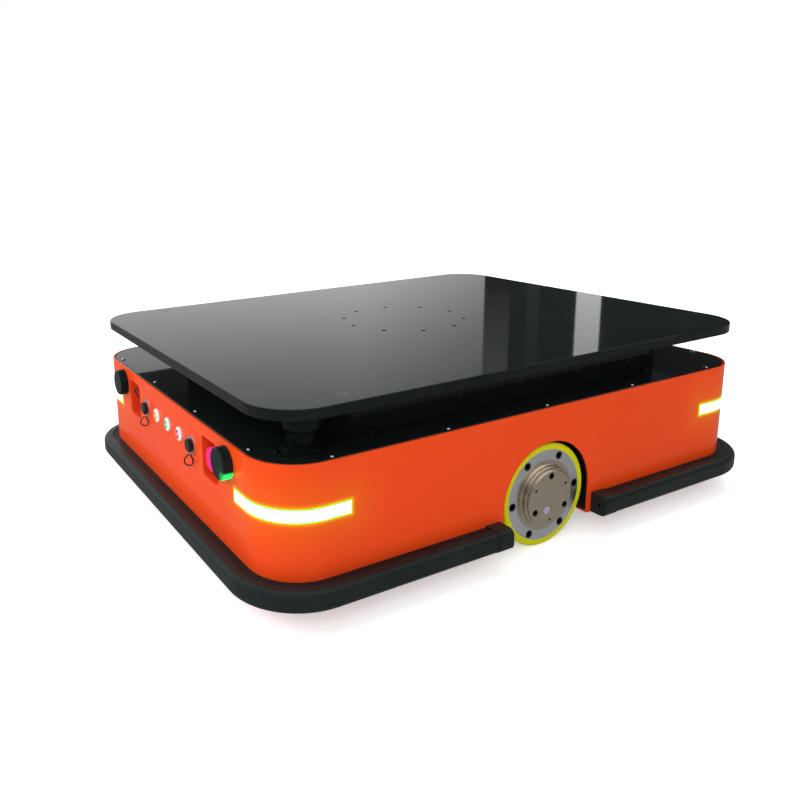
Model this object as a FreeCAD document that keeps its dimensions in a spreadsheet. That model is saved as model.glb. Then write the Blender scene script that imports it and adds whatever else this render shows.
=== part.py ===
"""Lifting mobile robot: a low wheeled body with a load plate that four corner columns raise.

Frame: millimetres, +Z up, origin on the floor under the middle of the body.
The operating panel faces -Y and the drive axle runs along X. The plate is modelled raised.
"""

import FreeCAD, Part
import math
import os
import re

import Sketcher
from FreeCAD import Placement, Rotation, Vector

SIZES = {
    # body shell: a formed sheet ring
    "body_width": 800,
    "body_length": 1020,
    "body_corner": 84,
    "body_bottom": 36,
    "body_top": 245,
    "shell_wall": 3,
    "top_flange": 20,
    "bottom_flange": 20,
    "arch_room": 6,
    # top cover
    "cover_thick": 4,
    "cover_gap": 1.2,
    "cover_edge": 1.5,
    "cover_lip_depth": 7,
    "cover_lip_wall": 3,
    # load plate
    "plate_overhang": 1,
    "plate_corner": 82.5,
    "plate_thick": 17,
    "plate_rise": 62,
    "plate_edge": 1,
    "plate_circle": 240,
    "plate_hole": 9,
    "plate_hole_count": 10,
    "plate_hole_turn": 18,
    "plate_screw_inset_x": 35,
    "plate_screw_inset_y": 135.5,
    "plate_screw_head": 14,
    "plate_screw_sink": 4,
    "plate_screw_shank": 8,
    "plate_screw_length": 12,
    # lifting skirt
    "lift_stroke": 60,
    "skirt_inset_x": 69,
    "skirt_inset_y": 155,
    "skirt_corner": 30,
    "skirt_wall": 3,
    "skirt_flange": 20,
    "skirt_overlap": 4,
    "skirt_gap": 1.5,
    "skirt_screw_pitch": 133,
    "skirt_screw_drop": 39,
    "skirt_screw_head": 7,
    "skirt_screw_shank": 4,
    "skirt_screw_length": 12,
    "guide_inset": 46,
    "guide_length": 12,
    "guide_depth": 11,
    "guide_height": 5,
    "guide_gap": 0.3,
    # lifting columns and jacks
    "column_inset_x": 130,
    "column_inset_y": 235,
    "column_dia": 38,
    "column_gap": 9,
    "jack_outer": 64,
    "jack_tube_bore": 44,
    "jack_floor": 4,
    "jack_foot_dia": 90,
    "jack_foot_thick": 6,
    "jack_screw_circle": 78,
    "jack_height": 153,
    "bush_outer": 50,
    "bush_length": 35,
    "lift_motor_dia": 56,
    "lift_motor_height": 84,
    "lift_motor_cap": 12,
    "lift_motor_gap": 4,
    # laser scanners on two opposite corners of the cover
    "scanner_inset_x": 59,
    "scanner_inset_y": 80,
    "scanner_plate": 70,
    "scanner_plate_corner": 6,
    "scanner_plate_thick": 3,
    "scanner_foot": 56,
    "scanner_foot_edge": 16,
    "scanner_foot_height": 5,
    "scanner_window_dia": 43,
    "scanner_window_wall": 2.5,
    "scanner_window_height": 21,
    "scanner_head_dia": 56,
    "scanner_head_flare": 7,
    "scanner_head_room": 4,
    "scanner_head_edge": 3,
    "scanner_screw_pitch": 57.5,
    "scanner_cable_hole": 24,
    # small screws
    "screw_head": 8,
    "screw_head_height": 2.2,
    "screw_shank": 4,
    "screw_grip": 9,
    "screw_socket": 2.5,
    "screw_inset_x": 12,
    "screw_inset_y": 15,
    "screw_corner_x": 97,
    "screw_corner_y": 100,
    # clearances
    "hole_room": 0.4,
    "seat_room": 0.3,
    "bearing_room": 0.05,
    "bush_room": 0.06,
    # base plate and frame
    "base_thick": 8,
    "base_gap": 0.5,
    "tube_size": 20,
    "frame_inset_x": 53,
    "frame_inset_y": 139,
    "mid_post_y": 150,
    "deck_height": 103,
    "deck_thick": 6,
    "deck_size": 140,
    "deck_leg_spread": 120,
    "deck_leg_dia": 16,
    "bay_depth": 70,
    "bay_plate": 3,
    "gearbox_slot": 140,
    "gearbox_slot_room": 14,
    # drive wheels
    "wheel_dia": 180,
    "wheel_width": 50,
    "wheel_inset": 8.2,
    "tyre_wall": 11,
    "tyre_edge": 2,
    "hub_web": 13.5,
    "gear_flange_dia": 123,
    "gear_back_dia": 151,
    "gear_back_thick": 12,
    "gear_recess": 2,
    "gear_spigot_dia": 40,
    "gear_spigot_length": 20,
    "gear_step_dia": 104,
    "gear_step_rise": 9.5,
    "gear_round": 3,
    "boss_dia": 96,
    "boss_rise": 14.5,
    "boss_edge": 1.5,
    "rim_bolt_circle": 141,
    "rim_bolt_head": 13,
    "rim_bolt_head_height": 8,
    "rim_bolt_pocket": 14,
    "rim_bolt_pocket_depth": 8.6,
    "rim_bolt_shank": 8,
    "rim_bolt_length": 15,
    "rim_bolt_turn": 4.5,
    "rim_bolt_socket": 6,
    "boss_bolt_circle": 77,
    "boss_bolt_head": 10,
    "boss_bolt_pocket": 11.5,
    "boss_bolt_pocket_depth": 6,
    "boss_bolt_height": 5,
    "boss_bolt_socket": 5,
    "boss_tap": 4.8,
    "boss_tap_depth": 10,
    "plug_dia": 12,
    "plug_y": 8,
    "plug_z": 20,
    "plug_rise": 0.6,
    "plug_depth": 5,
    # drive units
    "gearbox_flange_dia": 130,
    "gearbox_neck_dia": 110,
    "gearbox_length": 80,
    "motor_dia": 90,
    "motor_length": 116,
    "motor_edge": 4,
    "motor_box_length": 42,
    "motor_box_width": 36,
    "motor_box_rise": 12,
    "bracket_thick": 12,
    "bracket_half_y": 85,
    "bracket_height": 123,
    "bracket_edge": 30,
    "bracket_foot_length": 58,
    "bracket_foot_width": 13,
    "bracket_foot_thick": 8,
    # casters
    "caster_inset_x": 110,
    "caster_inset_y": 115,
    "caster_dia": 75,
    "caster_tread": 28,
    "caster_trail": 30,
    "caster_tread_edge": 4,
    "caster_axle": 8,
    "caster_hub": 28,
    "caster_plate_width": 90,
    "caster_plate_length": 74,
    "caster_plate_thick": 4,
    "caster_race_dia": 54,
    "caster_race_height": 5.7,
    "caster_crown_thick": 9,
    "caster_pin_dia": 12,
    "caster_leg_thick": 3.5,
    "caster_leg_gap": 1,
    "caster_leg_width": 30,
    "caster_axle_boss": 18,
    "caster_hole": 144,
    # bumper
    "bumper_rail_width": 13.5,
    "bumper_rail_rise": 3,
    "bumper_rail_height": 31,
    "bumper_groove": 0.5,
    "bumper_nose_width": 19,
    "bumper_nose_rise": 2,
    "bumper_nose_height": 33.5,
    "bumper_nose_round": 9.5,
    "bumper_end_gap": 9,
    "bumper_cap_length": 29,
    "bumper_cap_over": 1,
    "bumper_cap_round": 11,
    "bumper_cap_hole": 7,
    "bumper_cap_hole_depth": 10,
    # corner lights
    "light_drop": 86,
    "light_height": 21,
    "light_reach_x": 123,
    "light_reach_y": 125,
    "light_depth": 6,
    "light_proud": 0.4,
    # front panel
    "recess_x": 187,
    "recess_drop": 52.5,
    "recess_width": 60,
    "recess_height": 67,
    "recess_corner": 9,
    "recess_depth": 40,
    "recess_wall": 2,
    "button_pitch": 57,
    "button_drop": 49,
    "bezel_dia": 25,
    "bezel_rise": 3,
    "bezel_barrel_dia": 21.6,
    "bezel_barrel_length": 32,
    "bezel_nut_dia": 28,
    "bezel_nut_thick": 4,
    "button_dia": 19,
    "button_rise": 4.5,
    "button_length": 14,
    "button_room": 0.3,
    "button_edge": 0.8,
    "button_dish_dia": 13,
    "button_dish_depth": 0.6,
    "stop_collar_dia": 32,
    "stop_collar_rise": 8,
    "stop_barrel_dia": 22,
    "stop_barrel_length": 34,
    "stop_stem_dia": 16,
    "stop_head_dia": 40,
    "stop_head_thick": 15,
    "stop_head_round": 4,
    "stop_head_recess": 0.5,
    "stop_travel": 5,
    "socket_x": 114,
    "socket_drop": 50,
    "socket_flange_dia": 30,
    "socket_flange_thick": 2.5,
    "socket_neck_dia": 16,
    "socket_neck_rise": 7,
    "socket_barrel_dia": 20,
    "socket_barrel_length": 24,
    "service_socket_x": 178,
    "cap_dia": 22,
    "cap_thick": 6.5,
    "cap_edge": 0.8,
    "cap_start": 3,
    "lug_width": 9,
    "lug_height": 3,
    "lug_drop": 11.5,
    "lug_reach": 4.5,
    "lanyard_dia": 2.4,
    "antenna_x": 252,
    "antenna_drop": 33,
    "antenna_dia": 51,
    "antenna_thick": 15.5,
    "antenna_edge": 2,
    "antenna_stud_dia": 10,
    "antenna_stud_length": 18,
    # electronics
    "battery_room": 20,
    "battery_length": 180,
    "battery_height": 118,
    "battery_y": 240,
    "battery_edge": 6,
    "battery_plug": 40,
    "control_width": 360,
    "control_length": 160,
    "control_height": 90,
    "control_y": 235,
    "control_fin_count": 14,
    "control_fin_height": 14,
    "control_fin_thick": 3,
    "camera_dia": 44,
    "camera_height": 48,
    "camera_flange_dia": 66,
    "camera_flange_thick": 5,
    "camera_lens_dia": 26,
    "camera_lens_depth": 6,
    "camera_hole": 50,
}

# Formulas that several sub-parts share.
HALF_X = "body_width / 2"
HALF_Y = "body_length / 2"
COVER_UNDER = "(body_top - cover_thick)"
PLATE_UNDER = "(body_top + plate_rise)"
PLATE_TOP = "(body_top + plate_rise + plate_thick)"
PLATE_X = "(body_width / 2 + plate_overhang)"
PLATE_SCREW_X = "(body_width / 2 + plate_overhang - plate_screw_inset_x)"
PLATE_SCREW_Y = "(body_length / 2 - plate_screw_inset_y)"
SKIRT_X = "(body_width / 2 - skirt_inset_x)"
SKIRT_Y = "(body_length / 2 - skirt_inset_y)"
BASE_BOTTOM = "(body_bottom + shell_wall)"
BASE_TOP = "(body_bottom + shell_wall + base_thick)"
FRAME_TOP = "(body_top - cover_thick - cover_lip_depth)"
FRAME_X = "(body_width / 2 - frame_inset_x)"
FRAME_Y = "(body_length / 2 - frame_inset_y)"
COLUMN_X = "(body_width / 2 - column_inset_x)"
COLUMN_Y = "(body_length / 2 - column_inset_y)"
JACK_TOP = f"({BASE_TOP} + jack_height)"
SCANNER_X = "(body_width / 2 - scanner_inset_x)"
SCANNER_Y = "(body_length / 2 - scanner_inset_y)"
CASTER_X = "(body_width / 2 - caster_inset_x)"
CASTER_Y = "(body_length / 2 - caster_inset_y)"
WHEEL_FACE = "(body_width / 2 - wheel_inset)"
AXLE_HEIGHT = "wheel_dia / 2"
ARCH = "(wheel_dia / 2 + arch_room)"
GEARBOX_SEAT = "(body_width / 2 - bay_depth)"
BUMPER_END = "(wheel_dia / 2 + arch_room + bumper_end_gap)"
LIGHT_X = "(body_width / 2 - light_reach_x)"
LIGHT_Y = "(body_length / 2 - light_reach_y)"
LIGHT_BOTTOM = "(body_top - light_drop)"
LIGHT_TOP = "(body_top - light_drop + light_height)"
STOP_WALL = "(body_length / 2 - recess_depth)"
RECESS_Z = "(body_top - recess_drop)"
BUTTON_Z = "(body_top - button_drop)"
SOCKET_Z = "(body_top - socket_drop)"
ANTENNA_Z = "(body_top - antenna_drop)"

doc = FreeCAD.newDocument("lifting_robot")
sheet = doc.addObject("Spreadsheet::Sheet", "Sizes")
for row, (size_name, size_value) in enumerate(SIZES.items(), start=1):
    sheet.set(f"A{row}", size_name)
    sheet.set(f"B{row}", str(size_value))
    sheet.setAlias(f"B{row}", size_name)
doc.recompute()

finished = []


# ---------------------------------------------------------------- helpers


def bound(formula):
    """Turns a formula on size names into an expression on the sheet's cells."""
    return re.sub(
        r"[a-z]\w*",
        lambda word: f"Sizes.{word.group()}" if word.group() in SIZES else word.group(),
        str(formula),
    )


def number(formula):
    """The value of a formula on size names."""
    return float(sheet.evalExpression(bound(formula)))


def tie(item, **formulas):
    """Binds each named property of item to its formula."""
    for name, formula in formulas.items():
        item.setExpression(name, bound(formula))


def new_body(label):
    body = doc.addObject("PartDesign::Body", label)
    body.Label = label
    finished.append(body)
    return body


def origin_item(body, role):
    return next(item for item in body.Origin.OriginFeatures if item.Role == role)


def new_sketch(body, role, height="0"):
    """A sketch on one of the body's origin planes, at a height along the plane's normal."""
    drawing = body.newObject("Sketcher::SketchObject", "Sketch")
    drawing.AttachmentSupport = [(origin_item(body, role), "")]
    drawing.MapMode = "FlatFace"
    drawing.setExpression("AttachmentOffset.Base.z", bound(height))
    doc.recompute()
    return drawing


def pin(drawing, item, point, x=None, y=None):
    """Holds a point of the drawing at the formulas x and y."""
    for kind, axis, formula in (("DistanceX", -2, x), ("DistanceY", -1, y)):
        if formula is None:
            continue
        if formula == "0":
            drawing.addConstraint(Sketcher.Constraint("PointOnObject", item, point, axis))
            continue
        place = Sketcher.Constraint(kind, -1, 1, item, point, number(formula))
        index = drawing.addConstraint(place)
        drawing.setExpression(f"Constraints[{index}]", bound(formula))


def measure(drawing, kind, item, formula):
    index = drawing.addConstraint(Sketcher.Constraint(kind, item, number(formula)))
    drawing.setExpression(f"Constraints[{index}]", bound(formula))


def circle(drawing, x, y, radius):
    centre = Vector(number(x), number(y), 0)
    item = drawing.addGeometry(Part.Circle(centre, Vector(0, 0, 1), number(radius)))
    pin(drawing, item, 3, x, y)
    measure(drawing, "Radius", item, radius)


def outline(drawing, corners):
    """A closed outline of straight edges; each corner is an x and a y formula."""
    spots = [Vector(number(x), number(y), 0) for x, y in corners]
    first = drawing.GeometryCount
    for start, end in zip(spots, spots[1:] + spots[:1]):
        drawing.addGeometry(Part.LineSegment(start, end))
    for step, (x, y) in enumerate(corners):
        before = first + (step - 1) % len(corners)
        drawing.addConstraint(Sketcher.Constraint("Coincident", before, 2, first + step, 1))
        pin(drawing, first + step, 1, x, y)


def rectangle(drawing, left, right, low, high):
    outline(drawing, [(left, low), (right, low), (right, high), (left, high)])


def rounded_rectangle(drawing, left, right, low, high, radius):
    """A rectangle with rounded corners, each side held by its own formula."""
    x0, x1, y0, y1, r = (number(part) for part in (left, right, low, high, radius))
    lines = [
        drawing.addGeometry(Part.LineSegment(Vector(*start, 0), Vector(*end, 0)))
        for start, end in (
            ((x0 + r, y0), (x1 - r, y0)),
            ((x1, y0 + r), (x1, y1 - r)),
            ((x1 - r, y1), (x0 + r, y1)),
            ((x0, y1 - r), (x0, y0 + r)),
        )
    ]
    arcs = []
    for turn, centre in enumerate(
        ((x1 - r, y0 + r), (x1 - r, y1 - r), (x0 + r, y1 - r), (x0 + r, y0 + r))
    ):
        ring = Part.Circle(Vector(*centre, 0), Vector(0, 0, 1), r)
        start = math.radians(-90 + 90 * turn)
        arc = Part.ArcOfCircle(ring, start, start + math.pi / 2)
        arcs.append(drawing.addGeometry(arc))
    for turn in range(4):
        after = lines[(turn + 1) % 4]
        drawing.addConstraint(Sketcher.Constraint("Tangent", lines[turn], 2, arcs[turn], 1))
        drawing.addConstraint(Sketcher.Constraint("Tangent", arcs[turn], 2, after, 1))
        flat = "Horizontal" if turn % 2 == 0 else "Vertical"
        drawing.addConstraint(Sketcher.Constraint(flat, lines[turn]))
    for turn in range(1, 4):
        drawing.addConstraint(Sketcher.Constraint("Equal", arcs[0], arcs[turn]))
    measure(drawing, "Radius", arcs[0], radius)
    pin(drawing, lines[0], 1, y=low)
    pin(drawing, lines[1], 1, x=right)
    pin(drawing, lines[2], 1, y=high)
    pin(drawing, lines[3], 1, x=left)


def centred_rectangle(drawing, half_x, half_y, radius):
    rounded_rectangle(
        drawing, f"-({half_x})", half_x, f"-({half_y})", half_y, radius
    )


def half_ring(drawing, height, inner, outer):
    """The upper half of a ring round the point at that height on the vertical axis."""
    centre = Vector(0, number(height), 0)
    arcs = []
    for radius in (inner, outer):
        ring = Part.Circle(centre, Vector(0, 0, 1), number(radius))
        arcs.append(drawing.addGeometry(Part.ArcOfCircle(ring, 0, math.pi)))
        pin(drawing, arcs[-1], 3, "0", height)
        measure(drawing, "Radius", arcs[-1], radius)
        for end in (1, 2):
            drawing.addConstraint(Sketcher.Constraint("Horizontal", arcs[-1], 3, arcs[-1], end))
    for end, side in ((1, 1), (2, -1)):
        near = centre + Vector(side * number(inner), 0, 0)
        far = centre + Vector(side * number(outer), 0, 0)
        line = drawing.addGeometry(Part.LineSegment(near, far))
        drawing.addConstraint(Sketcher.Constraint("Coincident", line, 1, arcs[0], end))
        drawing.addConstraint(Sketcher.Constraint("Coincident", line, 2, arcs[1], end))


def pad(body, drawing, length, towards=1):
    """Extrudes a drawing along its plane's normal, or against it when towards is -1."""
    feature = body.newObject("PartDesign::Pad", "Pad")
    feature.Profile = drawing
    feature.Reversed = towards < 0
    tie(feature, Length=length)
    drawing.Visibility = False
    doc.recompute()
    return feature


def pocket(body, drawing, length=None, towards=-1):
    """Cuts a drawing against its plane's normal, or along it when towards is 1; through if no length."""
    before = body.Shape.Volume
    feature = body.newObject("PartDesign::Pocket", "Pocket")
    feature.Profile = drawing
    feature.Reversed = towards > 0
    if length is None:
        feature.Type = "ThroughAll"
        feature.SideType = "Symmetric"
    else:
        tie(feature, Length=length)
    doc.recompute()
    if not body.Shape.Volume < before - 1e-6:
        raise RuntimeError(f"{body.Label}: {feature.Name} cuts nothing")
    return feature


def revolve(body, drawing, axis="V_Axis"):
    feature = body.newObject("PartDesign::Revolution", "Revolution")
    feature.Profile = drawing
    feature.ReferenceAxis = (drawing, [axis])
    feature.Angle = 360
    doc.recompute()
    return feature


def mirror(body, features, role):
    """Adds the mirror image of features across one of the body's origin planes."""
    feature = body.newObject("PartDesign::Mirrored", "Mirrored")
    feature.Originals = features
    feature.MirrorPlane = (origin_item(body, role), [""])
    body.Tip = feature
    doc.recompute()
    return feature


def turn_copies(body, features, role, count):
    """Repeats features round one of the body's origin axes."""
    feature = body.newObject("PartDesign::PolarPattern", "PolarPattern")
    feature.Originals = features
    feature.Axis = (origin_item(body, role), [""])
    feature.Angle = 360
    tie(feature, Occurrences=count)
    body.Tip = feature
    doc.recompute()
    return feature


def edges_where(shape, test):
    return [f"Edge{i}" for i, edge in enumerate(shape.Edges, start=1) if test(edge)]


def soften(body, kind, size, test):
    """Rounds or bevels the edges of the body that pass the test; kind is Fillet or Chamfer."""
    base = body.Tip
    names = edges_where(base.Shape, test)
    if not names:
        raise RuntimeError(f"{body.Label}: no edge to {kind.lower()}")
    feature = body.newObject(f"PartDesign::{kind}", kind)
    feature.Base = (base, names)
    tie(feature, **{"Radius" if kind == "Fillet" else "Size": size})
    doc.recompute()
    return feature


def at_height(edge, formula):
    """Whether an edge lies level at that height."""
    box = edge.BoundBox
    level = number(formula)
    return abs(box.ZMin - level) < 1e-3 and abs(box.ZMax - level) < 1e-3


def at_depth(edge, formula):
    """Whether an edge lies in the plane at that place along Y."""
    box = edge.BoundBox
    level = number(formula)
    return abs(box.YMin - level) < 1e-3 and abs(box.YMax - level) < 1e-3


def round_profile(body, corners, role="XZ_Plane", axis="V_Axis"):
    """Revolves an outline of radius and height formulas round the axis."""
    drawing = new_sketch(body, role)
    outline(drawing, corners)
    return revolve(body, drawing, axis)


def master(name):
    """A shape that is only seen through its copies in a group."""
    body = doc.addObject("PartDesign::Body", name)
    body.Label = name
    return body


def place(item, x="0", y="0", z="0", turn=0):
    """Puts an item at formulas x, y and z, turned about Z by an angle in degrees."""
    item.Placement = Placement(Vector(), Rotation(Vector(0, 0, 1), turn))
    for axis, formula in (("x", x), ("y", y), ("z", z)):
        item.setExpression(f"Placement.Base.{axis}", bound(formula))


def group(label, places):
    """One sub-part made of copies; each place is a body, x, y and z formulas and a turn about Z."""
    links = []
    for step, (body, x, y, z, turn) in enumerate(places):
        link = doc.addObject("App::Link", f"{label}_copy_{step}")
        link.LinkedObject = body
        place(link, x, y, z, turn)
        links.append(link)
    item = doc.addObject("Part::Compound", label)
    item.Label = label
    item.Links = links
    doc.recompute()
    finished.append(item)
    return item


def corner_group(label, body, x, y, turns=(0, 0, 0, 0)):
    """Copies in the four corners, with a turn for each, counted round from the +X +Y corner."""
    spots = ((x, y), (f"-({x})", y), (f"-({x})", f"-({y})"), (x, f"-({y})"))
    return group(label, [(body, *spot, "0", turn) for spot, turn in zip(spots, turns)])


def hexagon(body, height, across, depth, role="XY_Plane"):
    """Cuts a hexagon socket into a head whose top lies at a height along the plane's normal."""
    drawing = new_sketch(body, role, height)
    reach = f"{across} / 2 / cos(30)"
    corners = []
    for step in range(6):
        angle = 60 * step + 30
        corners.append((f"{reach} * cos({angle})", f"{reach} * sin({angle})"))
    outline(drawing, corners)
    pocket(body, drawing, depth)


def spun(body, corners, axis="V_Axis", role="XZ_Plane"):
    """Revolves an outline of formulas round an axis of its plane."""
    drawing = new_sketch(body, role)
    outline(drawing, corners)
    return revolve(body, drawing, axis)


def on_sides(*formulas):
    """Each set of x and y formulas on both sides of the YZ plane."""
    return [(sign + x, y) for x, y in formulas for sign in ("", "-")]


def in_corners(x, y):
    return [(a + x, b + y) for a in ("", "-") for b in ("", "-")]


def rim_screw_places():
    """Where the screws round the cover's rim stand."""
    side_x = f"({HALF_X} - screw_inset_x)"
    end_y = f"({HALF_Y} - screw_inset_y)"
    last_x = f"({HALF_X} - screw_corner_x)"
    last_y = f"({HALF_Y} - screw_corner_y)"
    places = on_sides((side_x, "0"))
    places += in_corners(side_x, f"({last_y} / 2)")
    places += in_corners(side_x, last_y)
    places += in_corners(f"({last_x} / 3)", end_y)
    places += in_corners(last_x, end_y)
    return places


def jack_screw_places():
    """Where the screws in the feet of the four jack housings stand."""
    step = "jack_screw_circle / 2 * cos(45)"
    places = []
    for x, y in in_corners(COLUMN_X, COLUMN_Y):
        for across, along in in_corners(step, step):
            places.append((f"{x} + ({across})", f"{y} + ({along})"))
    return places


def scanner_screw_places():
    """Where the screws of the two scanners stand: squares turned to face the corners."""
    reach = "scanner_screw_pitch / sqrt(2)"
    places = []
    for across, along in (("", "-"), ("-", "")):
        for step_x, step_y in ((reach, "0"), (f"-{reach}", "0"), ("0", reach), ("0", f"-{reach}")):
            places.append((f"{across}{SCANNER_X} + {step_x}", f"{along}{SCANNER_Y} + {step_y}"))
    return places


# ---------------------------------------------------------------- body and cover


def make_body_shell():
    body = new_body("body_shell")
    wall = new_sketch(body, "XY_Plane", "body_bottom")
    centred_rectangle(wall, HALF_X, HALF_Y, "body_corner")
    inside = [f"{HALF_X} - shell_wall", f"{HALF_Y} - shell_wall", "body_corner - shell_wall"]
    centred_rectangle(wall, *inside)
    pad(body, wall, "body_top - body_bottom")

    top_flange_height = f"{COVER_UNDER} - shell_wall"
    for width, height in (("bottom_flange", "body_bottom"), ("top_flange", top_flange_height)):
        flange = new_sketch(body, "XY_Plane", height)
        middle = [f"{HALF_X} - shell_wall / 2", f"{HALF_Y} - shell_wall / 2"]
        centred_rectangle(flange, *middle, "body_corner - shell_wall / 2")
        centred_rectangle(flange, *[f"{side} - {width}" for side in inside])
        pad(body, flange, "shell_wall")

    screw_holes = new_sketch(body, "XY_Plane", COVER_UNDER)
    for x, y in rim_screw_places() + scanner_screw_places():
        circle(screw_holes, x, y, "(screw_shank + hole_room) / 2")
    pocket(body, screw_holes, "shell_wall")

    arch_top = new_sketch(body, "YZ_Plane")
    circle(arch_top, "0", AXLE_HEIGHT, ARCH)
    pocket(body, arch_top)
    arch_sides = new_sketch(body, "YZ_Plane")
    rectangle(arch_sides, f"-{ARCH}", ARCH, "body_bottom / 2", AXLE_HEIGHT)
    pocket(body, arch_sides)

    slots = new_sketch(body, "XY_Plane", LIGHT_TOP)
    for side_x in (1, -1):
        for side_y in (1, -1):
            xs = sorted((f"{side_x} * {LIGHT_X}", f"{side_x} * body_width"), key=number)
            ys = sorted((f"{side_y} * {LIGHT_Y}", f"{side_y} * body_length"), key=number)
            rectangle(slots, *xs, *ys)
    pocket(body, slots, "light_height")

    openings = new_sketch(body, "XZ_Plane", HALF_Y)
    for side in ("recess_x", "-recess_x"):
        recess_outline(openings, side, "0")
    for x in ("-button_pitch", "0", "button_pitch"):
        circle(openings, x, BUTTON_Z, "(bezel_barrel_dia + hole_room) / 2")
    for side in ("", "-"):
        circle(openings, f"{side}socket_x", SOCKET_Z, "(socket_barrel_dia + hole_room) / 2")
        circle(openings, f"{side}antenna_x", ANTENNA_Z, "(antenna_stud_dia + hole_room) / 2")
    pocket(body, openings, "2 * shell_wall")


def recess_outline(drawing, x, grow):
    """The rounded outline of a front recess round its middle, grown on every side."""
    rounded_rectangle(
        drawing,
        f"{x} - recess_width / 2 - {grow}",
        f"{x} + recess_width / 2 + {grow}",
        f"{RECESS_Z} - recess_height / 2 - {grow}",
        f"{RECESS_Z} + recess_height / 2 + {grow}",
        f"recess_corner + {grow}",
    )


def make_top_cover():
    body = new_body("top_cover")
    cutout = [f"{side} + skirt_gap" for side in (SKIRT_X, SKIRT_Y, "skirt_corner")]
    edge = [f"{side} - shell_wall - cover_gap" for side in (HALF_X, HALF_Y, "body_corner")]
    sheet_metal = new_sketch(body, "XY_Plane", COVER_UNDER)
    centred_rectangle(sheet_metal, *edge)
    centred_rectangle(sheet_metal, *cutout)
    pad(body, sheet_metal, "cover_thick")
    half_x = number(edge[0])
    half_y = number(edge[1])

    def on_rim(line):
        box = line.BoundBox
        reach = (box.XMax - half_x, -box.XMin - half_x, box.YMax - half_y, -box.YMin - half_y)
        return at_height(line, "body_top") and max(reach) > -1e-3

    soften(body, "Chamfer", "cover_edge", on_rim)
    lip = new_sketch(body, "XY_Plane", FRAME_TOP)
    centred_rectangle(lip, *[f"{side} + cover_lip_wall" for side in cutout])
    centred_rectangle(lip, *cutout)
    pad(body, lip, "cover_lip_depth")
    holes = new_sketch(body, "XY_Plane", "body_top")
    for x, y in rim_screw_places() + scanner_screw_places():
        circle(holes, x, y, "(screw_shank + hole_room) / 2")
    for across, along in (("", "-"), ("-", "")):
        circle(holes, f"{across}{SCANNER_X}", f"{along}{SCANNER_Y}", "scanner_cable_hole / 2")
    pocket(body, holes, "cover_thick")


def make_cover_screws():
    screw = master("button_screw")
    spun(
        screw,
        [
            ("0", "-screw_grip"),
            ("screw_shank / 2", "-screw_grip"),
            ("screw_shank / 2", "0"),
            ("screw_head / 2", "0"),
            ("screw_head / 2", "screw_head_height / 3"),
            ("screw_head / 3", "screw_head_height"),
            ("0", "screw_head_height"),
        ],
    )
    hexagon(screw, "screw_head_height", "screw_socket", "screw_head_height / 2")
    spots = [(screw, x, y, "body_top", 0) for x, y in rim_screw_places()]
    seat = "body_top + scanner_plate_thick"
    spots += [(screw, x, y, seat, 0) for x, y in scanner_screw_places()]
    foot = f"{BASE_TOP} + jack_foot_thick"
    spots += [(screw, x, y, foot, 0) for x, y in jack_screw_places()]
    group("cover_screws", spots)


# ---------------------------------------------------------------- chassis inside


def make_base_plate():
    body = new_body("base_plate")
    drawing = new_sketch(body, "XY_Plane", BASE_BOTTOM)
    edge = [f"{side} - shell_wall - base_gap" for side in (HALF_X, HALF_Y, "body_corner")]
    centred_rectangle(drawing, *edge)
    pad(body, drawing, "base_thick")
    cuts = new_sketch(body, "XY_Plane", BASE_TOP)
    slot_start = f"({GEARBOX_SEAT} - gearbox_length - motor_length - gearbox_slot_room)"
    for side in ("", "-"):
        inner, seat, outer = (
            f"{side}{part}" for part in (slot_start, GEARBOX_SEAT, "body_width")
        )
        outline(
            cuts,
            [
                (inner, "-gearbox_slot / 2"),
                (seat, "-gearbox_slot / 2"),
                (seat, f"-{ARCH}"),
                (outer, f"-{ARCH}"),
                (outer, ARCH),
                (seat, ARCH),
                (seat, "gearbox_slot / 2"),
                (inner, "gearbox_slot / 2"),
            ],
        )
    for x, y in in_corners(CASTER_X, CASTER_Y):
        circle(cuts, x, y, "caster_hole / 2")
    circle(cuts, "0", "0", "camera_hole / 2")
    for x, y in jack_screw_places():
        circle(cuts, x, y, "(screw_shank + hole_room) / 2")
    pocket(body, cuts, "base_thick")


def square(drawing, x, y, size):
    rectangle(
        drawing,
        f"{x} - {size} / 2",
        f"{x} + {size} / 2",
        f"{y} - {size} / 2",
        f"{y} + {size} / 2",
    )


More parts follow.
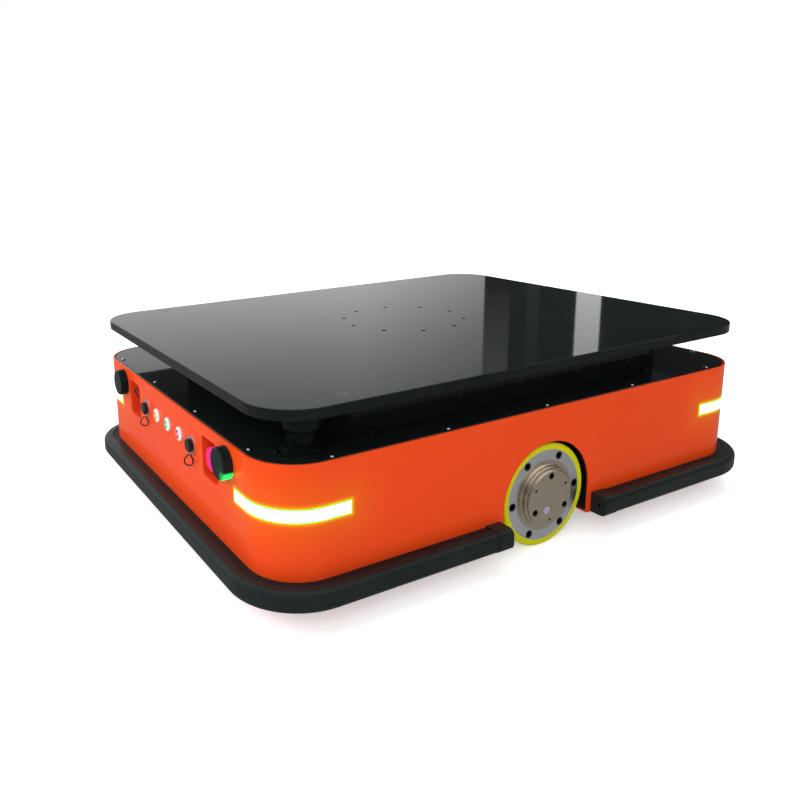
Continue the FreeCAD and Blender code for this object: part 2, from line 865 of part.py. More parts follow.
def make_chassis_frame():
    """Upper ring of tube, posts, and raised decks on legs over the casters."""
    body = new_body("chassis_frame")
    ring = new_sketch(body, "XY_Plane", f"{FRAME_TOP} - tube_size")
    for grow in ("+", "-"):
        rectangle(
            ring,
            f"-({FRAME_X} {grow} tube_size / 2)",
            f"{FRAME_X} {grow} tube_size / 2",
            f"-({FRAME_Y} {grow} tube_size / 2)",
            f"{FRAME_Y} {grow} tube_size / 2",
        )
    pad(body, ring, "tube_size")
    middle = new_sketch(body, "XY_Plane", BASE_TOP)
    for x, y in in_corners(FRAME_X, "mid_post_y"):
        square(middle, x, y, "tube_size")
    pad(body, middle, f"{FRAME_TOP} - tube_size - {BASE_TOP}")
    corners = new_sketch(body, "XY_Plane", "deck_height")
    for x, y in in_corners(FRAME_X, FRAME_Y):
        square(corners, x, y, "tube_size")
    pad(body, corners, f"{FRAME_TOP} - tube_size - deck_height")
    decks = new_sketch(body, "XY_Plane", "deck_height")
    for x, y in in_corners(CASTER_X, CASTER_Y):
        square(decks, x, y, "deck_size")
    pad(body, decks, "deck_thick")
    legs = new_sketch(body, "XY_Plane", BASE_TOP)
    for x, y in in_corners(CASTER_X, CASTER_Y):
        for across in ("+", "-"):
            for along in ("+", "-"):
                leg_x = f"{x} {across} deck_leg_spread / 2"
                leg_y = f"{y} {along} deck_leg_spread / 2"
                circle(legs, leg_x, leg_y, "deck_leg_dia / 2")
    pad(body, legs, f"deck_height - {BASE_TOP}")


def make_wheel_bay_liners():
    """A bent sheet round each wheel, from the base plate up over the arch and down again."""
    body = new_body("wheel_bay_liners")
    arch_start = f"({SKIRT_X} + skirt_gap)"
    arch = new_sketch(body, "YZ_Plane", arch_start)
    half_ring(arch, AXLE_HEIGHT, ARCH, f"{ARCH} + bay_plate")
    edge = f"({HALF_X} - shell_wall - base_gap)"
    mirror(body, [pad(body, arch, f"{edge} - {arch_start}")], "YZ_Plane")
    walls = new_sketch(body, "XY_Plane", BASE_TOP)
    for low in (ARCH, f"-({ARCH} + bay_plate)"):
        rectangle(walls, GEARBOX_SEAT, edge, low, f"{low} + bay_plate")
        rectangle(walls, f"-{edge}", f"-{GEARBOX_SEAT}", low, f"{low} + bay_plate")
    pad(body, walls, f"{AXLE_HEIGHT} - {BASE_TOP}")


GEARBOX_REACH = f"({WHEEL_FACE} - hub_web - gear_back_thick - seat_room - {GEARBOX_SEAT})"


def make_drive_unit(label, turn, side):
    """Planetary gearbox with a flange that carries the wheel, and its motor, along local X."""
    body = new_body(label)
    motor_end = "-(gearbox_length + motor_length)"
    spun(
        body,
        [
            (motor_end, "0"),
            (motor_end, "motor_dia / 2 - motor_edge"),
            (f"{motor_end} + motor_edge", "motor_dia / 2"),
            ("-gearbox_length", "motor_dia / 2"),
            ("-gearbox_length", "gearbox_neck_dia / 2"),
            ("0", "gearbox_neck_dia / 2"),
            ("0", "gearbox_flange_dia / 2"),
            (GEARBOX_REACH, "gearbox_flange_dia / 2"),
            (GEARBOX_REACH, "gear_spigot_dia / 2 + bearing_room"),
            (
                f"{GEARBOX_REACH} - gear_spigot_length - seat_room",
                "gear_spigot_dia / 2 + bearing_room",
            ),
            (f"{GEARBOX_REACH} - gear_spigot_length - seat_room", "0"),
        ],
        "H_Axis",
    )
    box = new_sketch(body, "XY_Plane")
    rectangle(
        box,
        f"{motor_end} + motor_edge + 2",
        f"{motor_end} + motor_edge + 2 + motor_box_length",
        "-motor_box_width / 2",
        "motor_box_width / 2",
    )
    pad(body, box, "motor_dia / 2 + motor_box_rise")
    place(body, f"{side}{GEARBOX_SEAT}", "0", AXLE_HEIGHT, turn)


def make_drive_brackets():
    body = new_body("drive_brackets")
    inner_face = f"({GEARBOX_SEAT} - bracket_thick)"
    top = f"({BASE_TOP} + bracket_height)"
    plate = new_sketch(body, "YZ_Plane", inner_face)
    outline(
        plate,
        [
            ("-bracket_half_y", BASE_TOP),
            ("bracket_half_y", BASE_TOP),
            ("bracket_half_y", f"{top} - bracket_edge"),
            ("bracket_half_y - bracket_edge", top),
            ("-(bracket_half_y - bracket_edge)", top),
            ("-bracket_half_y", f"{top} - bracket_edge"),
        ],
    )
    features = [pad(body, plate, "bracket_thick")]
    bore = new_sketch(body, "YZ_Plane", GEARBOX_SEAT)
    circle(bore, "0", AXLE_HEIGHT, "gearbox_neck_dia / 2 + seat_room")
    features.append(pocket(body, bore, "bracket_thick"))
    feet = new_sketch(body, "XY_Plane", BASE_TOP)
    for low in ("bracket_half_y - bracket_foot_width", "-bracket_half_y"):
        rectangle(
            feet,
            f"{inner_face} - bracket_foot_length",
            f"{inner_face} + 1",
            low,
            f"{low} + bracket_foot_width",
        )
    features.append(pad(body, feet, "bracket_foot_thick"))
    mirror(body, features, "YZ_Plane")


def make_battery_pack():
    """Sits between the decks over the casters."""
    body = new_body("battery_pack")
    half = f"({CASTER_X} - deck_size / 2 - battery_room)"
    case = new_sketch(body, "XY_Plane", BASE_TOP)
    rounded_rectangle(
        case,
        f"-{half}",
        half,
        "battery_y - battery_length / 2",
        "battery_y + battery_length / 2",
        "battery_edge",
    )
    pad(body, case, "battery_height")
    top = f"({BASE_TOP} + battery_height)"
    soften(body, "Chamfer", "battery_edge / 2", lambda edge: at_height(edge, top))
    plug = new_sketch(body, "XY_Plane", f"{BASE_TOP} + battery_height / 2")
    rectangle(
        plug,
        "-battery_plug",
        "battery_plug",
        "battery_y - battery_length / 2 - battery_plug / 2",
        "battery_y - battery_length / 2 + 1",
    )
    pad(body, plug, "battery_plug / 2")


def make_control_unit():
    body = new_body("control_unit")
    case = new_sketch(body, "XY_Plane", BASE_TOP)
    low_y = "-control_y - control_length / 2"
    high_y = "-control_y + control_length / 2"
    rectangle(case, "-control_width / 2", "control_width / 2", low_y, high_y)
    pad(body, case, "control_height")
    fin = new_sketch(body, "XY_Plane", f"{BASE_TOP} + control_height")
    rectangle(fin, "-control_width / 2", "-control_width / 2 + control_fin_thick", low_y, high_y)
    first = pad(body, fin, "control_fin_height")
    fins = body.newObject("PartDesign::LinearPattern", "LinearPattern")
    fins.Originals = [first]
    fins.Direction = (origin_item(body, "X_Axis"), [""])
    tie(fins, Length="control_width - control_fin_thick", Occurrences="control_fin_count")
    body.Tip = fins
    doc.recompute()


def make_floor_camera():
    """Looks down through the base plate at the codes on the floor."""
    body = new_body("floor_camera")
    spun(
        body,
        [
            ("0", f"{BASE_BOTTOM} + camera_lens_depth"),
            ("camera_lens_dia / 2", f"{BASE_BOTTOM} + camera_lens_depth"),
            ("camera_lens_dia / 2", BASE_BOTTOM),
            ("camera_dia / 2", BASE_BOTTOM),
            ("camera_dia / 2", BASE_TOP),
            ("camera_flange_dia / 2", BASE_TOP),
            ("camera_flange_dia / 2", f"{BASE_TOP} + camera_flange_thick"),
            ("camera_dia / 2", f"{BASE_TOP} + camera_flange_thick"),
            ("camera_dia / 2", f"{BASE_TOP} + camera_height"),
            ("0", f"{BASE_TOP} + camera_height"),
        ],
    )


# ---------------------------------------------------------------- lifting gear


def make_lifting_gear():
    """At each of four corners: a screw jack's housing, its guide bush, column and motor."""
    housing = master("jack_housing")
    bush_seat = f"({JACK_TOP} - bush_length)"
    spun(
        housing,
        [
            ("0", BASE_TOP),
            ("jack_foot_dia / 2", BASE_TOP),
            ("jack_foot_dia / 2", f"{BASE_TOP} + jack_foot_thick"),
            ("jack_outer / 2", f"{BASE_TOP} + jack_foot_thick"),
            ("jack_outer / 2", JACK_TOP),
            ("bush_outer / 2", JACK_TOP),
            ("bush_outer / 2", bush_seat),
            ("jack_tube_bore / 2", bush_seat),
            ("jack_tube_bore / 2", f"{BASE_TOP} + jack_floor"),
            ("0", f"{BASE_TOP} + jack_floor"),
        ],
    )
    holes = new_sketch(housing, "XY_Plane", f"{BASE_TOP} + jack_foot_thick")
    step = "jack_screw_circle / 2 * cos(45)"
    for x, y in in_corners(step, step):
        circle(holes, x, y, "(screw_shank + hole_room) / 2")
    pocket(housing, holes, "jack_foot_thick")
    corner_group("jack_housings", housing, COLUMN_X, COLUMN_Y)

    bush = master("guide_bush")
    bore = "column_dia / 2 + bush_room"
    spun(
        bush,
        [
            (bore, bush_seat),
            ("bush_outer / 2", bush_seat),
            ("bush_outer / 2", JACK_TOP),
            (bore, JACK_TOP),
        ],
    )
    corner_group("guide_bushes", bush, COLUMN_X, COLUMN_Y)

    column = master("lift_column")
    low = f"({BASE_TOP} + jack_floor + column_gap)"
    spun(
        column,
        [
            ("0", low),
            ("column_dia / 2", low),
            ("column_dia / 2", PLATE_UNDER),
            ("0", PLATE_UNDER),
        ],
    )
    corner_group("lift_columns", column, COLUMN_X, COLUMN_Y)

    motor = master("lift_motor")
    top = f"({BASE_TOP} + lift_motor_height)"
    spun(
        motor,
        [
            ("0", BASE_TOP),
            ("lift_motor_dia / 2", BASE_TOP),
            ("lift_motor_dia / 2", f"{top} - lift_motor_cap"),
            ("lift_motor_dia / 2 - lift_motor_cap / 2", f"{top} - lift_motor_cap / 2"),
            ("lift_motor_dia / 2 - lift_motor_cap / 2", top),
            ("0", top),
        ],
    )
    motor_y = f"({COLUMN_Y} - jack_foot_dia / 2 - lift_motor_gap - lift_motor_dia / 2)"
    corner_group("lift_motors", motor, COLUMN_X, motor_y)


def make_scanners():
    """Laser scanners between the cover and the plate: a foot, a dark window and a head."""
    housing = master("scanner_housing")
    foot_top = f"(body_top + scanner_plate_thick + scanner_foot_height)"
    window_top = f"({foot_top} + scanner_window_height)"
    head_top = f"({PLATE_UNDER} - scanner_head_room)"
    core = "(scanner_window_dia / 2 - scanner_window_wall)"
    plate = new_sketch(housing, "XY_Plane", "body_top")
    centred_rectangle(
        plate, "scanner_plate / 2", "scanner_plate / 2", "scanner_plate_corner"
    )
    pad(housing, plate, "scanner_plate_thick")
    holes = new_sketch(housing, "XY_Plane", "body_top + scanner_plate_thick")
    for x, y in in_corners("scanner_screw_pitch / 2", "scanner_screw_pitch / 2"):
        circle(holes, x, y, "(screw_shank + hole_room) / 2")
    pocket(housing, holes, "scanner_plate_thick")
    foot = new_sketch(housing, "XY_Plane", "body_top")
    half = "scanner_foot / 2"
    inner = f"({half} - scanner_foot_edge)"
    outline(
        foot,
        [
            (half, inner),
            (inner, half),
            (f"-{inner}", half),
            (f"-{half}", inner),
            (f"-{half}", f"-{inner}"),
            (f"-{inner}", f"-{half}"),
            (inner, f"-{half}"),
            (half, f"-{inner}"),
        ],
    )
    pad(housing, foot, "scanner_plate_thick + scanner_foot_height")
    spun(
        housing,
        [
            ("0", f"{foot_top} - 1"),
            (core, f"{foot_top} - 1"),
            (core, window_top),
            ("scanner_window_dia / 2", window_top),
            ("scanner_head_dia / 2", f"{window_top} + scanner_head_flare"),
            ("scanner_head_dia / 2", f"{head_top} - scanner_head_edge"),
            ("scanner_head_dia / 2 - scanner_head_edge", head_top),
            ("0", head_top),
        ],
    )
    window = master("scanner_window")
    spun(
        window,
        [
            (core, foot_top),
            ("scanner_window_dia / 2", foot_top),
            ("scanner_window_dia / 2", window_top),
            (core, window_top),
        ],
    )
    spots = ((SCANNER_X, f"-{SCANNER_Y}", -45), (f"-{SCANNER_X}", SCANNER_Y, 135))
    group("scanner_housings", [(housing, x, y, "0", turn) for x, y, turn in spots])
    group("scanner_windows", [(window, x, y, "0", turn) for x, y, turn in spots])


def make_load_plate():
    body = new_body("load_plate")
    drawing = new_sketch(body, "XY_Plane", PLATE_UNDER)
    centred_rectangle(drawing, PLATE_X, HALF_Y, "plate_corner")
    pad(body, drawing, "plate_thick")
    soften(
        body,
        "Chamfer",
        "plate_edge",
        lambda edge: at_height(edge, PLATE_TOP) or at_height(edge, PLATE_UNDER),
    )
    corners = in_corners(PLATE_SCREW_X, PLATE_SCREW_Y)
    for dia, depth in (
        ("plate_screw_head", "plate_screw_sink"),
        ("plate_screw_shank", "plate_screw_length"),
    ):
        holes = new_sketch(body, "XY_Plane", PLATE_TOP)
        for x, y in corners:
            circle(holes, x, y, f"{dia} / 2")
        pocket(body, holes, depth)
    hole = new_sketch(body, "XY_Plane", PLATE_TOP)
    reach = "plate_circle / 2"
    turn = "plate_hole_turn"
    circle(hole, f"{reach} * cos({turn})", f"{reach} * sin({turn})", "plate_hole / 2")
    turn_copies(body, [pocket(body, hole, "plate_thick")], "Z_Axis", "plate_hole_count")


def make_lift_skirt():
    body = new_body("lift_skirt")
    bottom = "(body_top - skirt_overlap - lift_stroke)"
    wall = new_sketch(body, "XY_Plane", bottom)
    outer = [SKIRT_X, SKIRT_Y, "skirt_corner"]
    centred_rectangle(wall, *outer)
    centred_rectangle(wall, *[f"{side} - skirt_wall" for side in outer])
    pad(body, wall, f"{PLATE_UNDER} - {bottom}")
    flange = new_sketch(body, "XY_Plane", f"{PLATE_UNDER} - skirt_wall")
    centred_rectangle(flange, *[f"{side} - skirt_wall / 2" for side in outer])
    inner = [f"{side} - skirt_wall - skirt_flange" for side in outer]
    centred_rectangle(flange, *inner[:2], "skirt_corner / 4")
    pad(body, flange, "skirt_wall")
    holes = new_sketch(body, "YZ_Plane")
    for step in range(-2, 3):
        y = f"{step} * skirt_screw_pitch" if step else "0"
        circle(holes, y, f"{PLATE_UNDER} - skirt_screw_drop", "skirt_screw_head / 2")
    pocket(body, holes)


def make_platform_screws():
    """Plugs in the plate's lifting-eye threads, and the flush screws along the skirt."""
    plug = master("plate_plug")
    spun(
        plug,
        [
            ("0", "-plate_screw_length"),
            ("plate_screw_shank / 2", "-plate_screw_length"),
            ("plate_screw_shank / 2", "-plate_screw_sink"),
            ("plate_screw_head / 2", "-plate_screw_sink"),
            ("plate_screw_head / 2", "0"),
            ("0", "0"),
        ],
    )
    screw = master("skirt_screw")
    spun(
        screw,
        [
            ("-skirt_screw_length", "0"),
            ("-skirt_screw_length", "skirt_screw_shank / 2"),
            ("-skirt_wall", "skirt_screw_shank / 2"),
            ("-skirt_wall", "skirt_screw_head / 2"),
            ("0", "skirt_screw_head / 2"),
            ("0", "0"),
        ],
        "H_Axis",
    )
    places = [
        (plug, x, y, PLATE_TOP, 0) for x, y in in_corners(PLATE_SCREW_X, PLATE_SCREW_Y)
    ]
    height = f"{PLATE_UNDER} - skirt_screw_drop"
    for step in range(-2, 3):
        y = f"{step} * skirt_screw_pitch"
        places.append((screw, SKIRT_X, y, height, 0))
        places.append((screw, f"-{SKIRT_X}", y, height, 180))
    group("platform_screws", places)


def make_skirt_guides():
    """Guide shoes on the cover beside the ends of the skirt's long sides."""
    body = master("guide_shoe")
    drawing = new_sketch(body, "XY_Plane")
    rectangle(drawing, "0", "guide_depth", "-guide_length / 2", "guide_length / 2")
    pad(body, drawing, "guide_height")
    far = number("guide_depth")
    soften(
        body,
        "Fillet",
        "guide_length / 3",
        lambda edge: edge.BoundBox.XMin > far - 1e-3 and edge.BoundBox.ZLength > 1,
    )
    x = f"({SKIRT_X} + guide_gap)"
    y = f"({SKIRT_Y} - guide_inset)"
    places = []
    for side, turn in (("", 0), ("-", 180)):
        for end in ("", "-"):
            places.append((body, f"{side}{x}", f"{end}{y}", "body_top", turn))
    group("skirt_guides", places)


# ---------------------------------------------------------------- drive wheels


def wheel_part(label, side, turn):
    body = new_body(label)
    place(body, f"{side}{WHEEL_FACE}", "0", AXLE_HEIGHT, turn)
    return body


def circle_at(drawing, dia, angle, radius):
    """A circle on a bolt circle of diameter dia, at an angle formula in degrees."""
    circle(drawing, f"{dia} / 2 * cos({angle})", f"{dia} / 2 * sin({angle})", radius)


def make_tyre(label, side, turn):
    body = wheel_part(label, side, turn)
    rim, tread = "wheel_dia / 2 - tyre_wall", "wheel_dia / 2"
    spun(
        body,
        [
            ("-wheel_width", rim),
            ("0", rim),
            ("0", f"{tread} - tyre_edge"),
            ("-tyre_edge", tread),
            ("tyre_edge - wheel_width", tread),
            ("-wheel_width", f"{tread} - tyre_edge"),
        ],
        "H_Axis",
    )


def make_hub_ring(label, side, turn):
    """Aluminium rim ring, with counterbored holes for the screws that hold it to the gear flange."""
    body = wheel_part(label, side, turn)
    rim = "wheel_dia / 2 - tyre_wall"
    spun(
        body,
        [
            ("0", "gear_flange_dia / 2"),
            ("0", rim),
            ("-wheel_width", rim),
            ("-wheel_width", "gear_back_dia / 2"),
            ("-hub_web", "gear_back_dia / 2"),
            ("-hub_web", "gear_flange_dia / 2"),
        ],
        "H_Axis",
    )
    pockets = []
    for dia, depth in (
        ("rim_bolt_pocket", "rim_bolt_pocket_depth"),
        ("rim_bolt_shank + hole_room", "hub_web"),
    ):
        drawing = new_sketch(body, "YZ_Plane")
        circle_at(drawing, "rim_bolt_circle", "rim_bolt_turn", f"({dia}) / 2")
        pockets.append(pocket(body, drawing, depth))
    turn_copies(body, pockets, "X_Axis", "6")


def make_gear_flange(label, side, turn):
    """Output flange of the gearbox: flush with the ring, stepped up to a boss in the middle."""
    body = wheel_part(label, side, turn)
    back = "-(hub_web + gear_back_thick)"
    fillet = "gear_recess"
    spun(
        body,
        [
            (f"{back} - gear_spigot_length", "0"),
            (f"{back} - gear_spigot_length", "gear_spigot_dia / 2"),
            (back, "gear_spigot_dia / 2"),
            (back, "gear_back_dia / 2"),
            ("-hub_web", "gear_back_dia / 2"),
            ("-hub_web", "gear_flange_dia / 2"),
            ("0", "gear_flange_dia / 2"),
            ("0", f"gear_step_dia / 2 + {fillet}"),
            (fillet, "gear_step_dia / 2"),
            ("gear_step_rise", "gear_step_dia / 2"),
            ("gear_step_rise", "boss_dia / 2"),
            ("boss_rise - boss_edge", "boss_dia / 2"),
            ("boss_rise", "boss_dia / 2 - boss_edge"),
            ("boss_rise", "0"),
        ],
        "H_Axis",
    )
    step_face = number("gear_step_rise")
    step_reach = number("gear_step_dia / 2")

    def step_rim(edge):
        box = edge.BoundBox
        level = abs(box.XMin - step_face) < 1e-3 and box.XLength < 1e-3
        return level and abs(box.YMax - step_reach) < 1e-3

    soften(body, "Fillet", "gear_round", step_rim)
    face = []
    for dia, depth, angle in (
        ("boss_bolt_pocket", "boss_bolt_pocket_depth", "90"),
        ("boss_tap", "boss_tap_depth", "30"),
    ):
        drawing = new_sketch(body, "YZ_Plane", "boss_rise")
        circle_at(drawing, "boss_bolt_circle", angle, f"{dia} / 2")
        face.append(pocket(body, drawing, depth))
    turn_copies(body, face, "X_Axis", "3")
    drawing = new_sketch(body, "YZ_Plane", "boss_rise")
    circle(drawing, "-plug_y", "-plug_z", "plug_dia / 2")
    pocket(body, drawing, "plug_depth")
    drawing = new_sketch(body, "YZ_Plane", "-hub_web")
    circle_at(drawing, "rim_bolt_circle", "rim_bolt_turn", "rim_bolt_shank / 2")
    turn_copies(body, [pocket(body, drawing, "gear_back_thick")], "X_Axis", "6")


def make_bolt(name, head, height, shank, length, socket):
    """A socket-head screw along -X, with its head's seat at the local origin."""
    body = master(name)
    spun(
        body,
        [
            (f"-({length})", "0"),
            (f"-({length})", f"{shank} / 2"),
            ("0", f"{shank} / 2"),
            ("0", f"{head} / 2"),
            (height, f"{head} / 2"),
            (height, "0"),
        ],
        "H_Axis",
    )
    hexagon(body, height, socket, f"{height} / 2", "YZ_Plane")
    return body


def make_wheel_screws():
    rim_bolt = make_bolt(
        "rim_bolt",
        "rim_bolt_head",
        "rim_bolt_head_height",
        "rim_bolt_shank",
        "rim_bolt_length",
        "rim_bolt_socket",
    )
    boss_bolt = master("boss_bolt")
    spun(
        boss_bolt,
        [
            ("0", "0"),
            ("0", "boss_bolt_head / 2"),
            ("boss_bolt_height", "boss_bolt_head / 2"),
            ("boss_bolt_height", "0"),
        ],
        "H_Axis",
    )
    hexagon(boss_bolt, "boss_bolt_height", "boss_bolt_socket", "boss_bolt_height / 2", "YZ_Plane")
    plug = master("boss_plug")
    spun(
        plug,
        [
            ("-plug_depth", "0"),
            ("-plug_depth", "plug_dia / 2"),
            ("plug_rise", "plug_dia / 2"),
            ("plug_rise", "0"),
        ],
        "H_Axis",
    )
    places = []
    for step in range(6):
        angle = f"({60 * step} + rim_bolt_turn)"
        y = f"rim_bolt_circle / 2 * cos({angle})"
        z = f"rim_bolt_circle / 2 * sin({angle})"
        places.append((rim_bolt, "-rim_bolt_pocket_depth", y, z, 0))
    for step in range(3):
        angle = 120 * step + 90
        y = f"boss_bolt_circle / 2 * cos({angle})"
        z = f"boss_bolt_circle / 2 * sin({angle})"
        places.append((boss_bolt, "boss_rise - boss_bolt_pocket_depth", y, z, 0))
    places.append((plug, "boss_rise", "-plug_y", "-plug_z", 0))
    for name, side, turn in (("right", "", 0), ("left", "-", 180)):
        screws = group(f"{name}_wheel_screws", places)
        place(screws, f"{side}{WHEEL_FACE}", "0", AXLE_HEIGHT, turn)


# ---------------------------------------------------------------- casters

CROWN_TOP = "(deck_height - caster_plate_thick - caster_race_height - seat_room)"


def make_caster_plates():
    body = master("caster_plate")
    bore = "(caster_pin_dia / 2 + bearing_room)"
    under = "(deck_height - caster_plate_thick)"
    plate = new_sketch(body, "XY_Plane", under)
    rounded_rectangle(
        plate,
        "-caster_plate_width / 2",
        "caster_plate_width / 2",
        "-caster_plate_length / 2",
        "caster_plate_length / 2",
        "caster_plate_thick",
    )
    pad(body, plate, "caster_plate_thick")
    race = new_sketch(body, "XY_Plane", under)
    circle(race, "0", "0", "caster_race_dia / 2")
    pad(body, race, "caster_race_height", towards=-1)
    hole = new_sketch(body, "XY_Plane", "deck_height")
    circle(hole, "0", "0", bore)
    pocket(body, hole, "caster_plate_thick + caster_race_height")
    corner_group("caster_plates", body, CASTER_X, CASTER_Y)


def make_caster_fork(label, x, y):
    """Swivel fork with its kingpin on top and its axle behind the swivel."""
    body = new_body(label)
    crown = new_sketch(body, "XY_Plane", f"{CROWN_TOP} - caster_crown_thick")
    circle(crown, "0", "0", "caster_race_dia / 2")
    pad(body, crown, "caster_crown_thick")
    pivot = new_sketch(body, "XY_Plane", CROWN_TOP)
    circle(pivot, "0", "0", "caster_pin_dia / 2")
    pad(body, pivot, f"deck_height - 1 - {CROWN_TOP}")
    inner = "caster_tread / 2 + caster_leg_gap"
    axle = "caster_dia / 2"
    leg = new_sketch(body, "YZ_Plane", inner)
    outline(
        leg,
        [
            ("-caster_leg_width / 2", f"{CROWN_TOP} - 1"),
            ("caster_trail - caster_axle_boss / 2", axle),
            ("caster_trail + caster_axle_boss / 2", axle),
            ("caster_leg_width * 2 / 3", f"{CROWN_TOP} - 1"),
        ],
    )
    boss = new_sketch(body, "YZ_Plane", inner)
    circle(boss, "caster_trail", axle, "caster_axle_boss / 2")
    features = [pad(body, leg, "caster_leg_thick"), pad(body, boss, "caster_leg_thick")]
    mirror(body, features, "YZ_Plane")
    axle_end = f"({inner} + caster_leg_thick + caster_leg_gap)"
    pin_sketch = new_sketch(body, "YZ_Plane", f"-{axle_end}")
    circle(pin_sketch, "caster_trail", axle, "caster_axle / 2")
    pad(body, pin_sketch, f"2 * {axle_end}")
    place(body, x, y)


def make_caster_wheel(label, x, y):
    body = new_body(label)
    half = "caster_tread / 2"
    dish = f"{half} - caster_tread_edge"
    bore = "caster_axle / 2 + bearing_room"
    tread = "caster_dia / 2"
    side = [
        (half, bore),
        (half, "caster_hub / 2"),
        (dish, "caster_hub / 2 + 1"),
        (dish, f"{tread} - 2 * caster_tread_edge"),
        (half, f"{tread} - 2 * caster_tread_edge"),
        (half, f"{tread} - caster_tread_edge"),
        (dish, tread),
    ]
    mirrored = [(f"-({along})", radius) for along, radius in reversed(side)]
    spun(body, side + mirrored, "H_Axis")
    place(body, x, f"{y} + caster_trail", tread)


# ---------------------------------------------------------------- bumper and lights


def u_path(drawing):
    """The line of the shell's foot round the front end, from one bumper end to the other."""
    reach = number(HALF_X)
    depth = number(HALF_Y)
    corner = number("body_corner")
    start = number(f"{BUMPER_END} + bumper_cap_length")
    lines = [
        ((reach, -start), (reach, corner - depth)),
        ((reach - corner, -depth), (corner - reach, -depth)),
        ((-reach, corner - depth), (-reach, -start)),
    ]
    for begin, end in lines:
        drawing.addGeometry(Part.LineSegment(Vector(*begin, 0), Vector(*end, 0)))
    for centre_x, begin in ((reach - corner, -90), (corner - reach, -180)):
        ring = Part.Circle(Vector(centre_x, corner - depth, 0), Vector(0, 0, 1), corner)
        begin = math.radians(begin)
        drawing.addGeometry(Part.ArcOfCircle(ring, begin, begin + math.pi / 2))
    y_end = f"-({BUMPER_END} + bumper_cap_length)"
    y_turn = f"-({HALF_Y} - body_corner)"
    x_turn = f"{HALF_X} - body_corner"
    pin(drawing, 0, 1, HALF_X, y_end)
    pin(drawing, 0, 2, HALF_X, y_turn)
    pin(drawing, 1, 1, x_turn, f"-{HALF_Y}")
    pin(drawing, 1, 2, f"-({x_turn})", f"-{HALF_Y}")
    pin(drawing, 2, 1, f"-{HALF_X}", y_turn)
    pin(drawing, 2, 2, f"-{HALF_X}", y_end)
    for arc, before, after in ((3, 0, 1), (4, 1, 2)):
        drawing.addConstraint(Sketcher.Constraint("Coincident", arc, 2, before, 2))
        drawing.addConstraint(Sketcher.Constraint("Coincident", arc, 1, after, 1))
        measure(drawing, "Radius", arc, "body_corner")


def swept_half(name, left, right, low, high):
    """Sweeps a rectangular section round the front half of the shell's foot."""
    body = master(name)
    spine = new_sketch(body, "XY_Plane")
    u_path(spine)
    section = new_sketch(body, "XZ_Plane", f"{BUMPER_END} + bumper_cap_length")
    rectangle(section, left, right, low, high)
    pipe = body.newObject("PartDesign::AdditivePipe", "AdditivePipe")
    pipe.Profile = section
    pipe.Spine = spine
    doc.recompute()
    return body


def both_ends(label, body):
    """The front half and the same half turned round to the back."""
    group(label, [(body, "0", "0", "0", 0), (body, "0", "0", "0", 180)])


NOSE_START = f"({HALF_X} + bumper_rail_width + bumper_groove)"
NOSE_END = f"({HALF_X} + bumper_rail_width + bumper_nose_width)"
NOSE_BOTTOM = "(body_bottom + bumper_nose_rise)"
NOSE_TOP = "(body_bottom + bumper_nose_rise + bumper_nose_height)"
RAIL_BOTTOM = "(body_bottom + bumper_rail_rise)"


def make_bumper():
    rail = swept_half(
        "bumper_rail",
        HALF_X,
        f"{HALF_X} + bumper_rail_width",
        RAIL_BOTTOM,
        f"{RAIL_BOTTOM} + bumper_rail_height",
    )
    both_ends("bumper_rails", rail)
    nose = swept_half("bumper_nose", NOSE_START, NOSE_END, NOSE_BOTTOM, NOSE_TOP)
    reach_x = number(NOSE_END)
    reach_y = reach_x + number(HALF_Y) - number(HALF_X)

    def outer(edge):
        box = edge.BoundBox
        beyond = (box.XMax - reach_x, -box.XMin - reach_x, -box.YMin - reach_y)
        along = edge.Length > number("bumper_nose_width")
        return along and box.ZLength < 1e-3 and max(beyond) > -1e-2

    soften(nose, "Fillet", "bumper_nose_round", outer)
    both_ends("bumper_noses", nose)

    cap = master("bumper_cap")
    end = new_sketch(cap, "XZ_Plane", BUMPER_END)
    tip = f"{NOSE_END} + bumper_cap_over"
    low, high = f"{NOSE_BOTTOM} - bumper_cap_over", f"{NOSE_TOP} + bumper_cap_over"
    rectangle(end, HALF_X, tip, low, high)
    pad(cap, end, "bumper_cap_length")
    tip_x = number(tip)
    soften(
        cap,
        "Fillet",
        "bumper_cap_round",
        lambda edge: edge.BoundBox.XMin > tip_x - 1e-3 and edge.BoundBox.YLength > 1,
    )
    eye = new_sketch(cap, "XZ_Plane", BUMPER_END)
    middle = f"({NOSE_BOTTOM} + {NOSE_TOP}) / 2"
    circle(eye, f"{NOSE_START} + bumper_cap_hole / 2", middle, "bumper_cap_hole / 2")
    pocket(cap, eye, "bumper_cap_hole_depth", towards=1)
    pair = cap.newObject("PartDesign::Mirrored", "Mirrored")
    pair.TransformMode = "Whole shape"
    pair.MirrorPlane = (origin_item(cap, "XZ_Plane"), [""])
    cap.Tip = pair
    doc.recompute()
    both_ends("bumper_end_caps", cap)


def make_corner_lights():
    """Light covers that wrap the body's four corners."""
    body = new_body("corner_lights")
    ring = new_sketch(body, "XY_Plane", f"{LIGHT_BOTTOM} + seat_room")
    sides = (HALF_X, HALF_Y, "body_corner")
    centred_rectangle(ring, *[f"{side} + light_proud" for side in sides])
    centred_rectangle(ring, *[f"{side} - light_depth" for side in sides])
    pad(body, ring, "light_height - 2 * seat_room")
    for half_x, half_y in (
        (f"({LIGHT_X} + seat_room)", "body_length"),
        ("body_width", f"({LIGHT_Y} + seat_room)"),
    ):
        gap = new_sketch(body, "XY_Plane", LIGHT_TOP)
        rectangle(gap, f"-{half_x}", half_x, f"-{half_y}", half_y)
        pocket(body, gap, "light_height")


# ---------------------------------------------------------------- front panel


